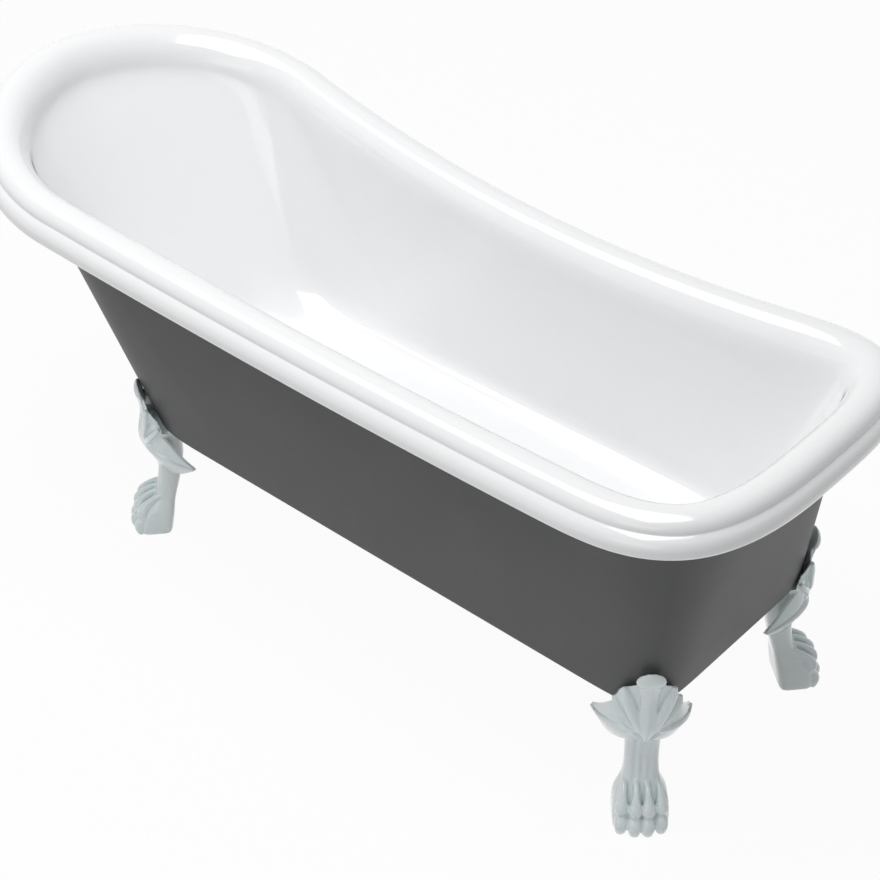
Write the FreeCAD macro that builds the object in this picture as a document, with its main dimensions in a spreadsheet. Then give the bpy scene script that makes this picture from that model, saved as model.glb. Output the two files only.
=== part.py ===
import FreeCAD, Part
import math
import os
import Sketcher

# Claw-foot slipper bath, 1.7 m long: a white basin with a rolled rim, a dark skin
# around it, a timber base between the two, four cast claw feet with levelling
# screws, and a pop-up waste worked by a turning overflow knob.
# Millimetres. X runs from the raised head end to the low end, Z is up, and the
# origin is on the floor under the middle of the bath. Insets are measured inwards
# in plan from the outermost line of the rim.

SIZES = (
    # Rim seen from above
    ("bath_length", 1700.0, "length over the rim"),
    ("waist_half_width", 312.3, "half width of the rim at mid length"),
    ("width_lean", -30.3, "half width gained from mid length to the low end"),
    ("width_bow", 58.7, "extra half width at both ends of the length"),
    ("head_round", 369.0, "length of the head end's curve"),
    ("head_power", 1.8, "fullness of the head end's curve"),
    ("low_round", 301.0, "length of the low end's curve"),
    ("low_power", 3.0, "fullness of the low end's curve"),
    # Rim seen from the side
    ("rim_height", 576.0, "lip level where the rim is lowest"),
    ("rim_low_inset", 649.0, "where the rim is lowest, from its low end"),
    ("rim_sweep", 87.6, "rise of the rim half a bath length from there"),
    ("rim_width", 91.0, "rim from its outermost line to the basin wall"),
    ("rim_crown", 58.0, "top of the rim above the lip level"),
    ("bead_height", 37.0, "top of the lower bead above the lip level"),
    ("bead_step", 15.0, "inset of the upper roll behind the bead"),
    ("lip_drop", 3.0, "underside of the rim below the lip level"),
    ("basin_sheet", 5.0, "thickness of the basin"),
    # Basin floor
    ("bearer_height", 26.0, "bearers between the skin's flange and the base board"),
    ("floor_low_inset", 216.0, "foot of the low wall from the rim's low end"),
    ("floor_head_inset", 455.0, "foot of the head wall from the rim's head end"),
    ("floor_half_width", 204.0, "half width where the walls meet the floor level"),
    ("floor_round", 238.0, "length of the floor's corner curves"),
    ("floor_power", 4.0, "fullness of the floor's corner curves"),
    ("floor_cove", 79.0, "width of the cove between floor and wall"),
    # Outer skin
    ("base_height", 232.5, "underside of the skin"),
    ("base_low_inset", 136.0, "skin's bottom edge from the rim's low end"),
    ("base_head_inset", 435.0, "skin's bottom edge from the rim's head end"),
    ("base_half_width", 224.5, "half width of the skin's bottom edge"),
    ("base_round", 238.0, "length of the bottom edge's corner curves"),
    ("base_low_power", 8.0, "fullness of the bottom corners at the low end"),
    ("base_head_power", 6.0, "fullness of the bottom corners at the head end"),
    ("skin_inset", 78.0, "inset of the skin's top edge"),
    ("skin_top", 1.5, "top edge of the skin above the lip level"),
    ("skin_sheet", 3.5, "thickness of the skin"),
    ("skin_flange", 60.0, "width of the skin's inturned bottom flange"),
    ("seat_gap", 0.3, "clearance between seated curved parts"),
    # Timber base
    ("board_thick", 18.0, "base board"),
    ("board_low_inset", 290.0, "base board from the rim's low end"),
    ("board_head_inset", 535.0, "base board from the rim's head end"),
    ("board_half_width", 122.0, "half width of the base board"),
    ("board_corner", 40.0, "corner radius of the base board"),
    ("board_hole", 48.0, "radius of the hole round the waste"),
    ("bearer_width", 44.0, "bearers along the length"),
    ("bearer_reach", 206.0, "half length of the cross bearers"),
    ("bearer_head_inset", 590.0, "head bearer from the rim's head end"),
    ("bearer_middle_station", 130.0, "X of the middle bearer"),
    ("bearer_low_inset", 315.0, "two short low bearers from the rim's low end"),
    ("bearer_low_gap", 60.0, "half gap between the short bearers"),
    # Feet
    ("foot_low_inset", 149.5, "sole centres from the rim's low end"),
    ("foot_head_inset", 444.0, "sole centres from the rim's head end"),
    ("foot_low_spread", 213.0, "Y of the sole centres at the low end"),
    ("foot_head_spread", 220.5, "Y of the sole centres at the head end"),
    ("foot_turn", 48.3, "angle of the toes from the length"),
    ("paw_half_width", 44.0, "half width of the paw"),
    ("leaf_rise", 79.5, "top of the leaf above the underside of the skin"),
    ("leaf_bend_rise", 50.5, "bend in the leaf's back above the underside of the skin"),
    ("leaf_back_low", -8.2, "back of the leaf at the underside of the skin"),
    ("leaf_back_bend", -2.1, "back of the leaf at its bend"),
    ("leaf_back_top", 7.3, "back of the leaf at its top"),
    ("leaf_cap_radius", 22.0, "round top of the leaf"),
    ("leaf_lobe_radius", 16.0, "side lobes of the leaf"),
    ("leaf_lobe_side", 29.0, "side lobes from the middle of the foot"),
    ("leaf_lobe_rise", 43.5, "centres of the side lobes above the underside of the skin"),
    ("toe_radius", 13.0, "toes"),
    ("toe_pitch", 21.5, "spacing of the toes"),
    ("toe_reach", 34.0, "toe end centres before the sole centre"),
    ("toe_height", 19.0, "toe end centres above the floor"),
    ("knuckle_reach", 14.0, "knuckle centres before the sole centre"),
    ("knuckle_height", 45.0, "knuckle centres above the floor"),
    ("shelf_thick", 12.0, "shelf of the foot under the skin"),
    ("shelf_depth", 98.0, "back of the shelf from the sole centre"),
    ("shelf_half_width", 40.0, "half width of the shelf"),
    ("block_front", 48.0, "front of the corner block from the sole centre"),
    ("block_back", 104.0, "back of the corner block from the sole centre"),
    ("block_half_width", 36.0, "half width of the corner block"),
    # Foot fasteners
    ("bolt_radius", 4.0, "bolt shank"),
    ("bolt_hole", 4.5, "radius of the bolt holes"),
    ("bolt_back", 76.0, "bolts behind the sole centre"),
    ("bolt_side", 22.0, "bolts from the middle of the foot"),
    ("bolt_head_across", 13.0, "bolt head across flats"),
    ("bolt_head_thick", 5.5, "bolt head"),
    ("washer_radius", 8.0, "washer"),
    ("washer_thick", 1.6, "washer"),
    ("insert_radius", 6.0, "threaded insert in the block"),
    ("insert_length", 20.0, "threaded insert in the block"),
    # Levelling screws
    ("level_pad_radius", 15.0, "levelling pad"),
    ("level_pad_thick", 6.0, "levelling pad"),
    ("level_lift", 0.5, "pad above the floor when screwed home"),
    ("level_screw_radius", 5.0, "levelling screw"),
    ("level_screw_top", 52.0, "top of the levelling screw"),
    ("level_play", 0.4, "clearance round the levelling screw"),
    ("level_back", 4.0, "levelling screw behind the sole centre"),
    # Waste
    ("waste_inset", 380.0, "waste from the rim's low end"),
    ("waste_hole", 26.0, "radius of the waste hole"),
    ("waste_seal_thick", 1.5, "seal under the waste flange"),
    ("waste_flange_radius", 35.0, "waste flange"),
    ("waste_flange_thick", 3.5, "waste flange"),
    ("waste_tail_radius", 22.0, "outside of the flange's threaded tail"),
    ("waste_tail_bore", 19.0, "bore of the tail"),
    ("waste_tail_length", 36.0, "tail below the flange"),
    ("guide_height", 5.0, "height of the plug guide's spokes"),
    ("guide_hub", 7.5, "radius of the plug guide's hub"),
    ("guide_spoke", 3.0, "width of the plug guide's spokes"),
    ("waste_gasket_thick", 3.0, "gasket under the floor"),
    ("waste_body_flange", 37.0, "radius of the waste body's flange"),
    ("waste_body_flange_thick", 5.0, "waste body's flange"),
    ("waste_body_radius", 27.0, "waste body"),
    ("waste_body_bore", 22.6, "bore of the waste body"),
    ("waste_body_depth", 85.0, "waste body below the basin floor"),
    ("outlet_radius", 23.9, "outlet thread"),
    ("outlet_bore", 19.0, "bore of the outlet"),
    ("outlet_length", 30.0, "outlet thread"),
    ("branch_drop", 37.0, "overflow branch below the basin floor"),
    ("branch_length", 14.0, "shoulder of the overflow branch"),
    ("branch_radius", 15.0, "shoulder of the overflow branch"),
    ("pipe_radius", 9.6, "spigots that the hose is pushed on"),
    ("pipe_bore", 7.5, "bore of the spigots"),
    ("pipe_grip", 24.0, "length of the spigots"),
    # Plug
    ("plug_radius", 29.0, "plug"),
    ("plug_edge", 2.5, "height of the plug's edge"),
    ("plug_crown", 4.0, "rise of the plug's crown"),
    ("plug_seal_thick", 1.6, "seal under the plug"),
    ("plug_seal_radius", 27.0, "seal under the plug"),
    ("stem_radius", 4.0, "plug stem"),
    ("stem_length", 46.0, "plug stem below the plug"),
    ("stem_play", 0.4, "clearance round stem and lifting pin"),
    ("pin_radius", 3.0, "lifting pin"),
    ("pin_length", 56.0, "lifting pin"),
    ("pin_guide_height", 8.0, "height of the lifting pin's guide"),
    # Overflow
    ("overflow_drop", 96.0, "overflow below the lowest lip level"),
    ("overflow_hole", 24.0, "radius of the overflow hole"),
    ("faceplate_stand_off", 1.0, "faceplate in front of the curved wall"),
    ("faceplate_radius", 35.0, "overflow faceplate"),
    ("faceplate_thick", 4.0, "overflow faceplate"),
    ("faceplate_tail", 18.0, "tail of the faceplate in the overflow body"),
    ("drain_offset", 10.6, "four water holes, each way from the spindle"),
    ("drain_radius", 6.0, "water holes of the faceplate"),
    ("knob_radius", 30.0, "overflow knob"),
    ("knob_thick", 14.0, "overflow knob"),
    ("knob_gap", 5.0, "water slot between faceplate and knob"),
    ("spindle_radius", 4.0, "knob spindle"),
    ("spindle_length", 35.0, "knob spindle behind the knob"),
    ("gasket_thick", 3.0, "gasket behind the overflow"),
    ("overflow_body_radius", 31.0, "overflow body"),
    ("overflow_body_depth", 22.0, "overflow body"),
    ("overflow_body_wall", 2.5, "wall of the overflow body"),
    # Hose and cable; insets are from the rim's low end, rises are above the basin floor
    ("hose_radius", 12.5, "overflow hose"),
    ("hose_bore", 9.9, "bore of the hose"),
    ("hose_gap", 0.9, "end of the hose from the shoulder of its spigot"),
    ("cable_radius", 3.0, "control cable"),
    ("cable_drop", 60.0, "where the cable enters the waste body, below the basin floor"),
    ("cable_side", 20.0, "cable beside the hose"),
    ("route_wall_inset", 153.0, "hose and cable beside the low wall"),
    ("route_wall_rise", 55.0, "hose and cable beside the low wall"),
    ("route_bend_inset", 166.0, "where they start to bend under the floor"),
    ("route_bend_rise", 7.0, "where they start to bend under the floor"),
    ("route_turn_inset", 194.0, "middle of the bend"),
    ("route_turn_rise", -24.0, "middle of the bend"),
    ("hose_level_inset", 235.0, "where the hose runs level"),
    ("cable_turn_inset", 225.0, "where the cable leaves the hose's side"),
    ("cable_turn_rise", -42.0, "where the cable leaves the hose's side"),
    ("cable_close_inset", 270.0, "where the cable nears the middle"),
    ("cable_close_rise", -57.0, "where the cable nears the middle"),
    ("cable_level_inset", 305.0, "where the cable runs level in the middle"),
    # Steps that the drawing itself works in
    ("loop_pairs", 40.0, "stations along half of the rim"),
)

# Places that follow from the sizes: name, formula, what it is.
PLACES = (
    ("low_end", "bath_length / 2", "X of the rim's low end"),
    ("head_end", "-bath_length / 2", "X of the rim's head end"),
    ("rim_low_station", "low_end - rim_low_inset", "X where the rim is lowest"),
    ("floor_height", "base_height + skin_sheet + bearer_height + board_thick + basin_sheet",
     "inside floor level"),
    ("floor_low_end", "low_end - floor_low_inset", "X where the low wall meets the floor level"),
    ("floor_head_end", "head_end + floor_head_inset", "X where the head wall meets the floor level"),
    ("base_low_end", "low_end - base_low_inset", "low end of the skin's bottom edge"),
    ("base_head_end", "head_end + base_head_inset", "head end of the skin's bottom edge"),
    ("board_low_end", "low_end - board_low_inset", "low end of the base board"),
    ("board_head_end", "head_end + board_head_inset", "head end of the base board"),
    ("bearer_head_station", "head_end + bearer_head_inset", "X of the head bearer"),
    ("bearer_low_station", "low_end - bearer_low_inset", "X of the two short low bearers"),
    ("foot_low_station", "low_end - foot_low_inset", "X of the sole centres at the low end"),
    ("foot_head_station", "head_end + foot_head_inset", "X of the sole centres at the head end"),
    ("leaf_top", "base_height + leaf_rise", "top of the leaf on the foot"),
    ("leaf_bend", "base_height + leaf_bend_rise", "height of the bend in the leaf's back"),
    ("leaf_lobe_height", "base_height + leaf_lobe_rise", "centres of the side lobes"),
    ("waste_station", "low_end - waste_inset", "X of the waste"),
    ("branch_height", "floor_height - branch_drop", "level of the overflow branch"),
    ("overflow_height", "rim_height - overflow_drop", "level of the overflow"),
    ("cable_height", "floor_height - cable_drop", "level where the cable enters the waste body"),
    ("hose_level_station", "low_end - hose_level_inset", "where the hose runs level"),
    ("cable_level_station", "low_end - cable_level_inset", "where the cable runs level in the middle"),
)

doc = FreeCAD.newDocument("ClawfootBath")
sheet = doc.addObject("Spreadsheet::Sheet", "sheet")
for row, (alias, size, note) in enumerate(SIZES, start=1):
    sheet.set("A%d" % row, alias)
    sheet.set("B%d" % row, str(size))
    sheet.set("C%d" % row, note)
    sheet.setAlias("B%d" % row, alias)
for row, (alias, formula, note) in enumerate(PLACES, start=len(SIZES) + 1):
    sheet.set("A%d" % row, alias)
    sheet.set("B%d" % row, "=" + formula)
    sheet.set("C%d" % row, note)
    sheet.setAlias("B%d" % row, alias)
doc.recompute()

NODES = []


def size(alias):
    """Value of a named size."""
    return float(sheet.get(alias))


def total(*aliases):
    """Sum of named sizes, each with an optional leading minus: (expression, value)."""
    expression = ""
    value = 0.0
    for alias in aliases:
        sign = "-" if alias.startswith("-") else "+"
        name = alias.lstrip("-")
        expression += " %s sheet.%s" % (sign, name)
        value += size(name) if sign == "+" else -size(name)
    return "0" + expression, value


ZERO = ("0", 0.0)


# ---------------------------------------------------------------- plan outlines

def power_curve(angle, power):
    """Cosine and sine of an angle in degrees, raised for a superellipse."""
    along = abs(math.cos(math.radians(angle))) ** (2.0 / power)
    across = abs(math.sin(math.radians(angle))) ** (2.0 / power)
    return along, across


def rim_half_width(x):
    """Half width of the rim at X, before the ends close in."""
    share = x / (size("bath_length") / 2.0)
    return size("waist_half_width") + size("width_lean") * share + size("width_bow") * share ** 2


def rim_outline(station):
    """Point of the rim's outermost line; stations 0..1..2..3 run low end, side, head end."""
    half = size("bath_length") / 2.0
    return outline_point(station, half, -half, size("low_round"), size("head_round"),
                         size("low_power"), size("head_power"), rim_half_width)


def base_outline(station, inwards=0.0):
    """Point of the skin's bottom edge, or of the same outline drawn smaller."""
    turn = size("base_round") - inwards
    return outline_point(station, size("base_low_end") - inwards, size("base_head_end") + inwards,
                         turn, turn, size("base_low_power"), size("base_head_power"),
                         lambda x: size("base_half_width") - inwards)


def floor_outline(station, inwards=0.0):
    """Point where the basin walls would meet the floor without a cove, or further in."""
    turn = size("floor_round") - inwards
    return outline_point(station, size("floor_low_end") - inwards, size("floor_head_end") + inwards,
                         turn, turn, size("floor_power"), size("floor_power"),
                         lambda x: size("floor_half_width") - inwards)


def outline_point(station, low_end, head_end, low_round, head_round, low_power, head_power, half_width):
    """One point, with Y positive, of an outline with two rounded ends and plain sides."""
    low_centre = low_end - low_round
    head_centre = head_end + head_round
    if station <= 1.0:
        along, across = power_curve(90.0 * station, low_power)
        x = low_centre + low_round * along
    elif station <= 2.0:
        across = 1.0
        x = low_centre + (head_centre - low_centre) * (station - 1.0)
    else:
        across, along = power_curve(90.0 * (station - 2.0), head_power)
        x = head_centre - head_round * along
    return x, across * half_width(x)


def even_stations():
    """Stations that divide half of the rim's length into equal steps."""
    samples = 3000
    track = [rim_outline(3.0 * k / samples) for k in range(samples + 1)]
    run = [0.0]
    for here, after in zip(track, track[1:]):
        run.append(run[-1] + math.hypot(after[0] - here[0], after[1] - here[1]))
    count = int(size("loop_pairs"))
    stations = []
    k = 0
    for step in range(count + 1):
        while k < samples and run[k] < run[-1] * step / count - 1e-9:
            k += 1
        stations.append(3.0 * k / samples)
    return stations


STATIONS = even_stations()


def closed_loop(outline, *inwards):
    """Both halves of an outline as one counter-clockwise list of plan points."""
    half = [outline(station, *inwards) for station in STATIONS]
    return half + [(x, -y) for x, y in half[-2:0:-1]]


def inset(loop, distance):
    """A plan loop moved inwards along its own normals."""
    moved = []
    for k, (x, y) in enumerate(loop):
        before = loop[k - 1]
        after = loop[(k + 1) % len(loop)]
        run_x = after[0] - before[0]
        run_y = after[1] - before[1]
        run = math.hypot(run_x, run_y)
        moved.append((x - distance * run_y / run, y + distance * run_x / run))
    return moved


RIM = closed_loop(rim_outline)


def lip_level(x):
    """Height of the rim's lip at X: a parabola, lowest towards the low end."""
    share = (x - size("rim_low_station")) / (size("bath_length") / 2.0)
    return size("rim_height") + size("rim_sweep") * share ** 2


# ---------------------------------------------------------------- curved sheets

def level_row(loop, z):
    return [FreeCAD.Vector(x, y, z) for x, y in loop]


def rim_row(inwards, up):
    """Points that follow the rim at a fixed inset and height above its lip level."""
    return [FreeCAD.Vector(x, y, lip_level(x) + up) for x, y in inset(RIM, inwards)]


def between(low_row, high_row, share):
    return [low + (high - low) * share for low, high in zip(low_row, high_row)]


def normals(rows):
    """Unit normal at each point of a grid of rows that close on themselves."""
    grid = []
    for j, row in enumerate(rows):
        below = rows[max(j - 1, 0)]
        above = rows[min(j + 1, len(rows) - 1)]
        line = []
        for i in range(len(row)):
            around = row[(i + 1) % len(row)] - row[i - 1]
            across = above[i] - below[i]
            line.append(around.cross(across).normalize())
        grid.append(line)
    return grid


def thicken(rows, thickness):
    """The rows, then the same rows pushed back by the thickness, in reverse order."""
    pushed = []
    for row, line in zip(rows, normals(rows)):
        pushed.append([point + normal * thickness for point, normal in zip(row, line)])
    return rows + pushed[::-1]


def through(row):
    """Control points of a smooth closed curve that passes through a row."""
    control = []
    for k, point in enumerate(row):
        bend = row[k - 1] + row[(k + 1) % len(row)] - point * 2.0
        control.append(point - bend * (1.0 / 6.0))
    return control


def swept_face(rows, ring):
    """Cubic face over closed rows; with ring set, the last row joins the first."""
    rows = [through(row) for row in rows]
    poles = [[row[i] for row in rows] for i in range(len(rows[0]))]
    turns = len(poles)
    across = len(rows)
    if ring:
        knots = list(range(across + 1))
        mults = [1] * (across + 1)
    else:
        knots = list(range(across - 2))
        mults = [4] + [1] * (across - 4) + [4]
    surface = Part.BSplineSurface()
    surface.buildFromPolesMultsKnots(poles, [1] * (turns + 1), mults, list(range(turns + 1)), knots,
                                     True, ring, 3, 3)
    return surface.toShape()


def outward(solid):
    """The solid with its faces turned outwards."""
    tolerance = 0.001
    solid.fix(tolerance, tolerance, 10.0 * tolerance)
    return solid


def ring_solid(rows):
    return outward(Part.Solid(Part.Shell([swept_face(rows, True)])))


def capped_solid(rows):
    """Solid over closed rows whose first and last rows are flat."""
    side = swept_face(rows, False)
    rims = [edge for edge in side.Edges if edge.BoundBox.ZLength < 0.01]
    caps = [Part.Face(Part.Wire([edge])) for edge in rims]
    return outward(Part.Solid(Part.Shell([side] + caps)))


def drill(centre, axis, radius, reach):
    """Round cutter that runs both ways from a point."""
    axis = FreeCAD.Vector(axis).normalize()
    return Part.makeCylinder(radius, 2.0 * reach, centre - axis * reach, axis)


def cut_each(solid, tools):
    """The solid less each tool, one after the other."""
    for tool in tools:
        solid = solid.cut(tool)
    return solid


def fuse_each(solid, pieces):
    """The solid joined with each piece, one after the other."""
    for piece in pieces:
        solid = solid.fuse(piece)
    return solid


# ---------------------------------------------------------------- document helpers

def check(item):
    if "Invalid" in item.State or "Error" in item.State:
        raise RuntimeError("%s failed: %s" % (item.Label, item.State))


def keep(item, label):
    """Name a finished sub-part and list it."""
    item.Label = label
    NODES.append(item)
    return item


def free_form(label, shape, placement=None):
    """Sub-part with a computed shape."""
    item = doc.addObject("Part::Feature", label)
    item.Shape = shape
    if placement:
        item.Placement = placement
    return keep(item, label)


def new_body(label):
    return keep(doc.addObject("PartDesign::Body", label), label)


def new_sketch(body, name, role):
    sketch = body.newObject("Sketcher::SketchObject", name)
    planes = [item for item in body.Origin.OriginFeatures if item.Role == role]
    sketch.AttachmentSupport = [(planes[0], "")]
    sketch.MapMode = "FlatFace"
    return sketch


def pin_point(sketch, line, x, y):
    """Bind the start of a line to two named totals."""
    if x[1] == 0.0:
        sketch.addConstraint(Sketcher.Constraint("PointOnObject", line, 1, -2))
    else:
        index = sketch.addConstraint(Sketcher.Constraint("DistanceX", -1, 1, line, 1, x[1]))
        sketch.setExpression("Constraints[%d]" % index, x[0])
    if y[1] == 0.0:
        sketch.addConstraint(Sketcher.Constraint("PointOnObject", line, 1, -1))
    else:
        index = sketch.addConstraint(Sketcher.Constraint("DistanceY", -1, 1, line, 1, y[1]))
        sketch.setExpression("Constraints[%d]" % index, y[0])


def polygon(sketch, points):
    """Closed outline of straight lines through points given as pairs of totals."""
    count = len(points)
    spots = [FreeCAD.Vector(x[1], y[1], 0) for x, y in points]
    for k in range(count):
        sketch.addGeometry(Part.LineSegment(spots[k], spots[(k + 1) % count]), False)
    for k in range(count):
        sketch.addConstraint(Sketcher.Constraint("Coincident", k, 2, (k + 1) % count, 1))
    for k, (x, y) in enumerate(points):
        pin_point(sketch, k, x, y)


def turned(label, points):
    """Body turned about its Z axis from an outline of (radius, height) pairs."""
    body = new_body(label)
    sketch = new_sketch(body, label + "_outline", "XZ_Plane")
    polygon(sketch, points)
    turn = body.newObject("PartDesign::Revolution", label + "_turn")
    turn.Profile = sketch
    turn.ReferenceAxis = (sketch, ["V_Axis"])
    turn.Angle = 360.0
    body.Tip = turn
    return body


def padded(label, low, high, thickness):
    """Flat body: a rectangle from corner to corner of totals, raised by a thickness."""
    body = new_body(label)
    sketch = new_sketch(body, label + "_outline", "XY_Plane")
    polygon(sketch, ((low[0], low[1]), (high[0], low[1]), (high[0], high[1]), (low[0], high[1])))
    pad = body.newObject("PartDesign::Pad", label + "_pad")
    pad.Profile = sketch
    pad.Length = thickness[1]
    pad.setExpression("Length", thickness[0])
    body.Tip = pad
    return body


def pocket_circle(body, name, x, y, radius):
    """Round hole right through a flat body, upwards from its underside."""
    sketch = new_sketch(body, name + "_outline", "XY_Plane")
    centre = FreeCAD.Vector(x[1], y[1], 0)
    sketch.addGeometry(Part.Circle(centre, FreeCAD.Vector(0, 0, 1), radius[1]), False)
    index = sketch.addConstraint(Sketcher.Constraint("Radius", 0, radius[1]))
    sketch.setExpression("Constraints[%d]" % index, radius[0])
    for kind, axis, spot in (("DistanceX", -2, x), ("DistanceY", -1, y)):
        if spot[1] == 0.0:
            sketch.addConstraint(Sketcher.Constraint("PointOnObject", 0, 3, axis))
        else:
            index = sketch.addConstraint(Sketcher.Constraint(kind, -1, 1, 0, 3, spot[1]))
            sketch.setExpression("Constraints[%d]" % index, spot[0])
    pocket = body.newObject("PartDesign::Pocket", name)
    pocket.Profile = sketch
    pocket.Type = "ThroughAll"
    pocket.Reversed = True
    body.Tip = pocket
    return pocket


def put(item, x=ZERO, y=ZERO, z=ZERO):
    """Place a sub-part by totals."""
    item.Placement = FreeCAD.Placement(FreeCAD.Vector(x[1], y[1], z[1]), FreeCAD.Rotation())
    for axis, spot in (("x", x), ("y", y), ("z", z)):
        item.setExpression("Placement.Base." + axis, spot[0])
    return item


# ---------------------------------------------------------------- levels and places

BOARD_TOP = total("floor_height", "-basin_sheet")
BOARD_BOTTOM = total("floor_height", "-basin_sheet", "-board_thick")
BASE_TOP = total("base_height", "skin_sheet")
BEARER_THICK = total("floor_height", "-basin_sheet", "-board_thick", "-base_height", "-skin_sheet")

FEET = (
    ("low_near", "low", -1),
    ("low_far", "low", 1),
    ("head_near", "head", -1),
    ("head_far", "head", 1),
)


def foot_placement(end, side):
    """Placement of a foot drawn with its toes along X and its sole centre at the origin."""
    turn = size("foot_turn") if end == "low" else 180.0 - size("foot_turn")
    centre = FreeCAD.Vector(size("foot_" + end + "_station"), side * size("foot_" + end + "_spread"), 0)
    return FreeCAD.Placement(centre, FreeCAD.Rotation(FreeCAD.Vector(0, 0, 1), side * turn))


def bolt_spots():
    """Plan places of the eight foot bolts."""
    spots = []
    for name, end, side in FEET:
        placement = foot_placement(end, side)
        for across in (-1, 1):
            local = FreeCAD.Vector(-size("bolt_back"), across * size("bolt_side"), 0)
            spots.append(placement.multVec(local))
    return spots


BOLTS = bolt_spots()


# ---------------------------------------------------------------- basin

def rim_profile():
    """Inset and height of the rim's section, from the basin wall over to the lip."""
    step = size("bead_step")
    roll = size("rim_width") - step
    crown = size("rim_crown")
    bead = size("bead_height")
    drop = -size("lip_drop")
    end = size("skin_inset") - size("seat_gap")
    return (
        (step + 1.00 * roll, 0.00 * crown),
        (step + 0.97 * roll, 0.27 * crown),
        (step + 0.90 * roll, 0.57 * crown),
        (step + 0.78 * roll, 0.81 * crown),
        (step + 0.62 * roll, 0.97 * crown),
        (step + 0.44 * roll, 1.02 * crown),
        (step + 0.27 * roll, 1.00 * crown),
        (step + 0.13 * roll, 0.90 * crown),
        (step + 0.04 * roll, 0.76 * crown),
        (step, bead),
        (0.62 * step, 0.88 * bead),
        (0.22 * step, 0.72 * bead),
        (0.0, 0.50 * bead),
        (0.0, 0.22 * bead),
        (0.25 * step, 0.4 * drop),
        (0.90 * step, drop),
        (2.20 * step, drop),
        (0.8 * end, drop),
        (end, drop),
        (end, 0.85 * drop),
    )


def wet_rows():
    """Rows of the basin's visible side: floor, cove, walls, rim, lip."""
    floor = size("floor_height")
    cove = size("floor_cove")
    foot_of_wall = level_row(closed_loop(floor_outline), floor)
    head_of_wall = rim_row(size("rim_width"), 0.0)
    rows = [level_row(closed_loop(floor_outline, cove), floor),
            level_row(closed_loop(floor_outline, 0.48 * cove), floor),
            level_row(closed_loop(floor_outline, 0.12 * cove), floor + 0.14 * cove)]
    rows += [between(foot_of_wall, head_of_wall, share) for share in (0.12, 0.26, 0.42, 0.58, 0.74, 0.88)]
    rows += [rim_row(inwards, up) for inwards, up in rim_profile()]
    return rows


def overflow_frame():
    """Point on the low wall's wet face at the overflow, and the way into the basin."""
    foot_x = size("floor_low_end")
    head_x = size("bath_length") / 2.0 - size("rim_width")
    head_z = lip_level(head_x)
    share = (size("overflow_height") - size("floor_height")) / (head_z - size("floor_height"))
    centre = FreeCAD.Vector(foot_x + share * (head_x - foot_x), 0, size("overflow_height"))
    inwards = FreeCAD.Vector(-(head_z - size("floor_height")), 0, head_x - foot_x).normalize()
    return centre, inwards


OVERFLOW, INTO_BASIN = overflow_frame()
WASTE = FreeCAD.Vector(size("waste_station"), 0, 0)


def basin():
    shell = capped_solid(thicken(wet_rows(), size("basin_sheet")))
    waste = drill(WASTE + FreeCAD.Vector(0, 0, size("floor_height")), FreeCAD.Vector(0, 0, 1),
                  size("waste_hole"), 4.0 * size("basin_sheet"))
    overflow = drill(OVERFLOW, INTO_BASIN, size("overflow_hole"), 4.0 * size("basin_sheet"))
    return cut_each(shell, [waste, overflow])


free_form("basin_shell", basin())


# ---------------------------------------------------------------- outer skin

def skin_rows():
    """Rows of the skin's outer face: flange, bottom edge, walls, top edge."""
    level = size("base_height")
    flange = size("skin_flange")
    edge = size("skin_sheet")
    foot_of_wall = level_row(closed_loop(base_outline), level)
    head_of_wall = rim_row(size("skin_inset"), size("skin_top"))
    rows = [level_row(closed_loop(base_outline, flange), level),
            level_row(closed_loop(base_outline, 0.55 * flange), level),
            level_row(closed_loop(base_outline, 0.15 * flange), level),
            level_row(closed_loop(base_outline, 0.35 * edge), level)]
    rows += [between(foot_of_wall, head_of_wall, share)
             for share in (0.004, 0.03, 0.12, 0.26, 0.42, 0.58, 0.74, 0.88, 0.97, 1.0)]
    return rows


def skin():
    """The skin, with the seam of its face at the top edge, clear of the bolt holes."""
    rows = thicken(skin_rows(), -size("skin_sheet"))
    half = len(rows) // 2
    shell = ring_solid(rows[half:] + rows[:half])
    up = FreeCAD.Vector(0, 0, 1)
    level = FreeCAD.Vector(0, 0, size("base_height"))
    return cut_each(shell, [drill(spot + level, up, size("bolt_hole"), 4.0 * size("skin_sheet"))
                            for spot in BOLTS])


free_form("outer_skin", skin())


# ---------------------------------------------------------------- timber base

board = padded("base_board",
               (total("board_head_end"), total("-board_half_width")),
               (total("board_low_end"), total("board_half_width")),
               total("board_thick"))
holed = pocket_circle(board, "base_board_waste_hole", total("waste_station"), ZERO, total("board_hole"))
put(board, z=BOARD_BOTTOM)
doc.recompute()
corners = ["Edge%d" % (k + 1) for k, edge in enumerate(holed.Shape.Edges)
           if edge.BoundBox.XLength < 0.01 and edge.BoundBox.YLength < 0.01
           and abs(abs(edge.BoundBox.Center.y) - size("board_half_width")) < 0.01]
rounding = board.newObject("PartDesign::Fillet", "base_board_corners")
rounding.Base = (holed, corners)
rounding.Radius = size("board_corner")
rounding.setExpression("Radius", "sheet.board_corner")
board.Tip = rounding


def bearer(label, station, near, far):
    """Timber across the bath between two totals of Y, on the skin's flange."""
    item = doc.addObject("Part::Box", label)
    item.setExpression("Length", "sheet.bearer_width")
    item.setExpression("Width", "(%s) - (%s)" % (far[0], near[0]))
    item.setExpression("Height", BEARER_THICK[0])
    item.setExpression("Placement.Base.x", "sheet.%s - sheet.bearer_width / 2" % station)
    item.setExpression("Placement.Base.y", near[0])
    item.setExpression("Placement.Base.z", BASE_TOP[0])
    return keep(item, label)


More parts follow.
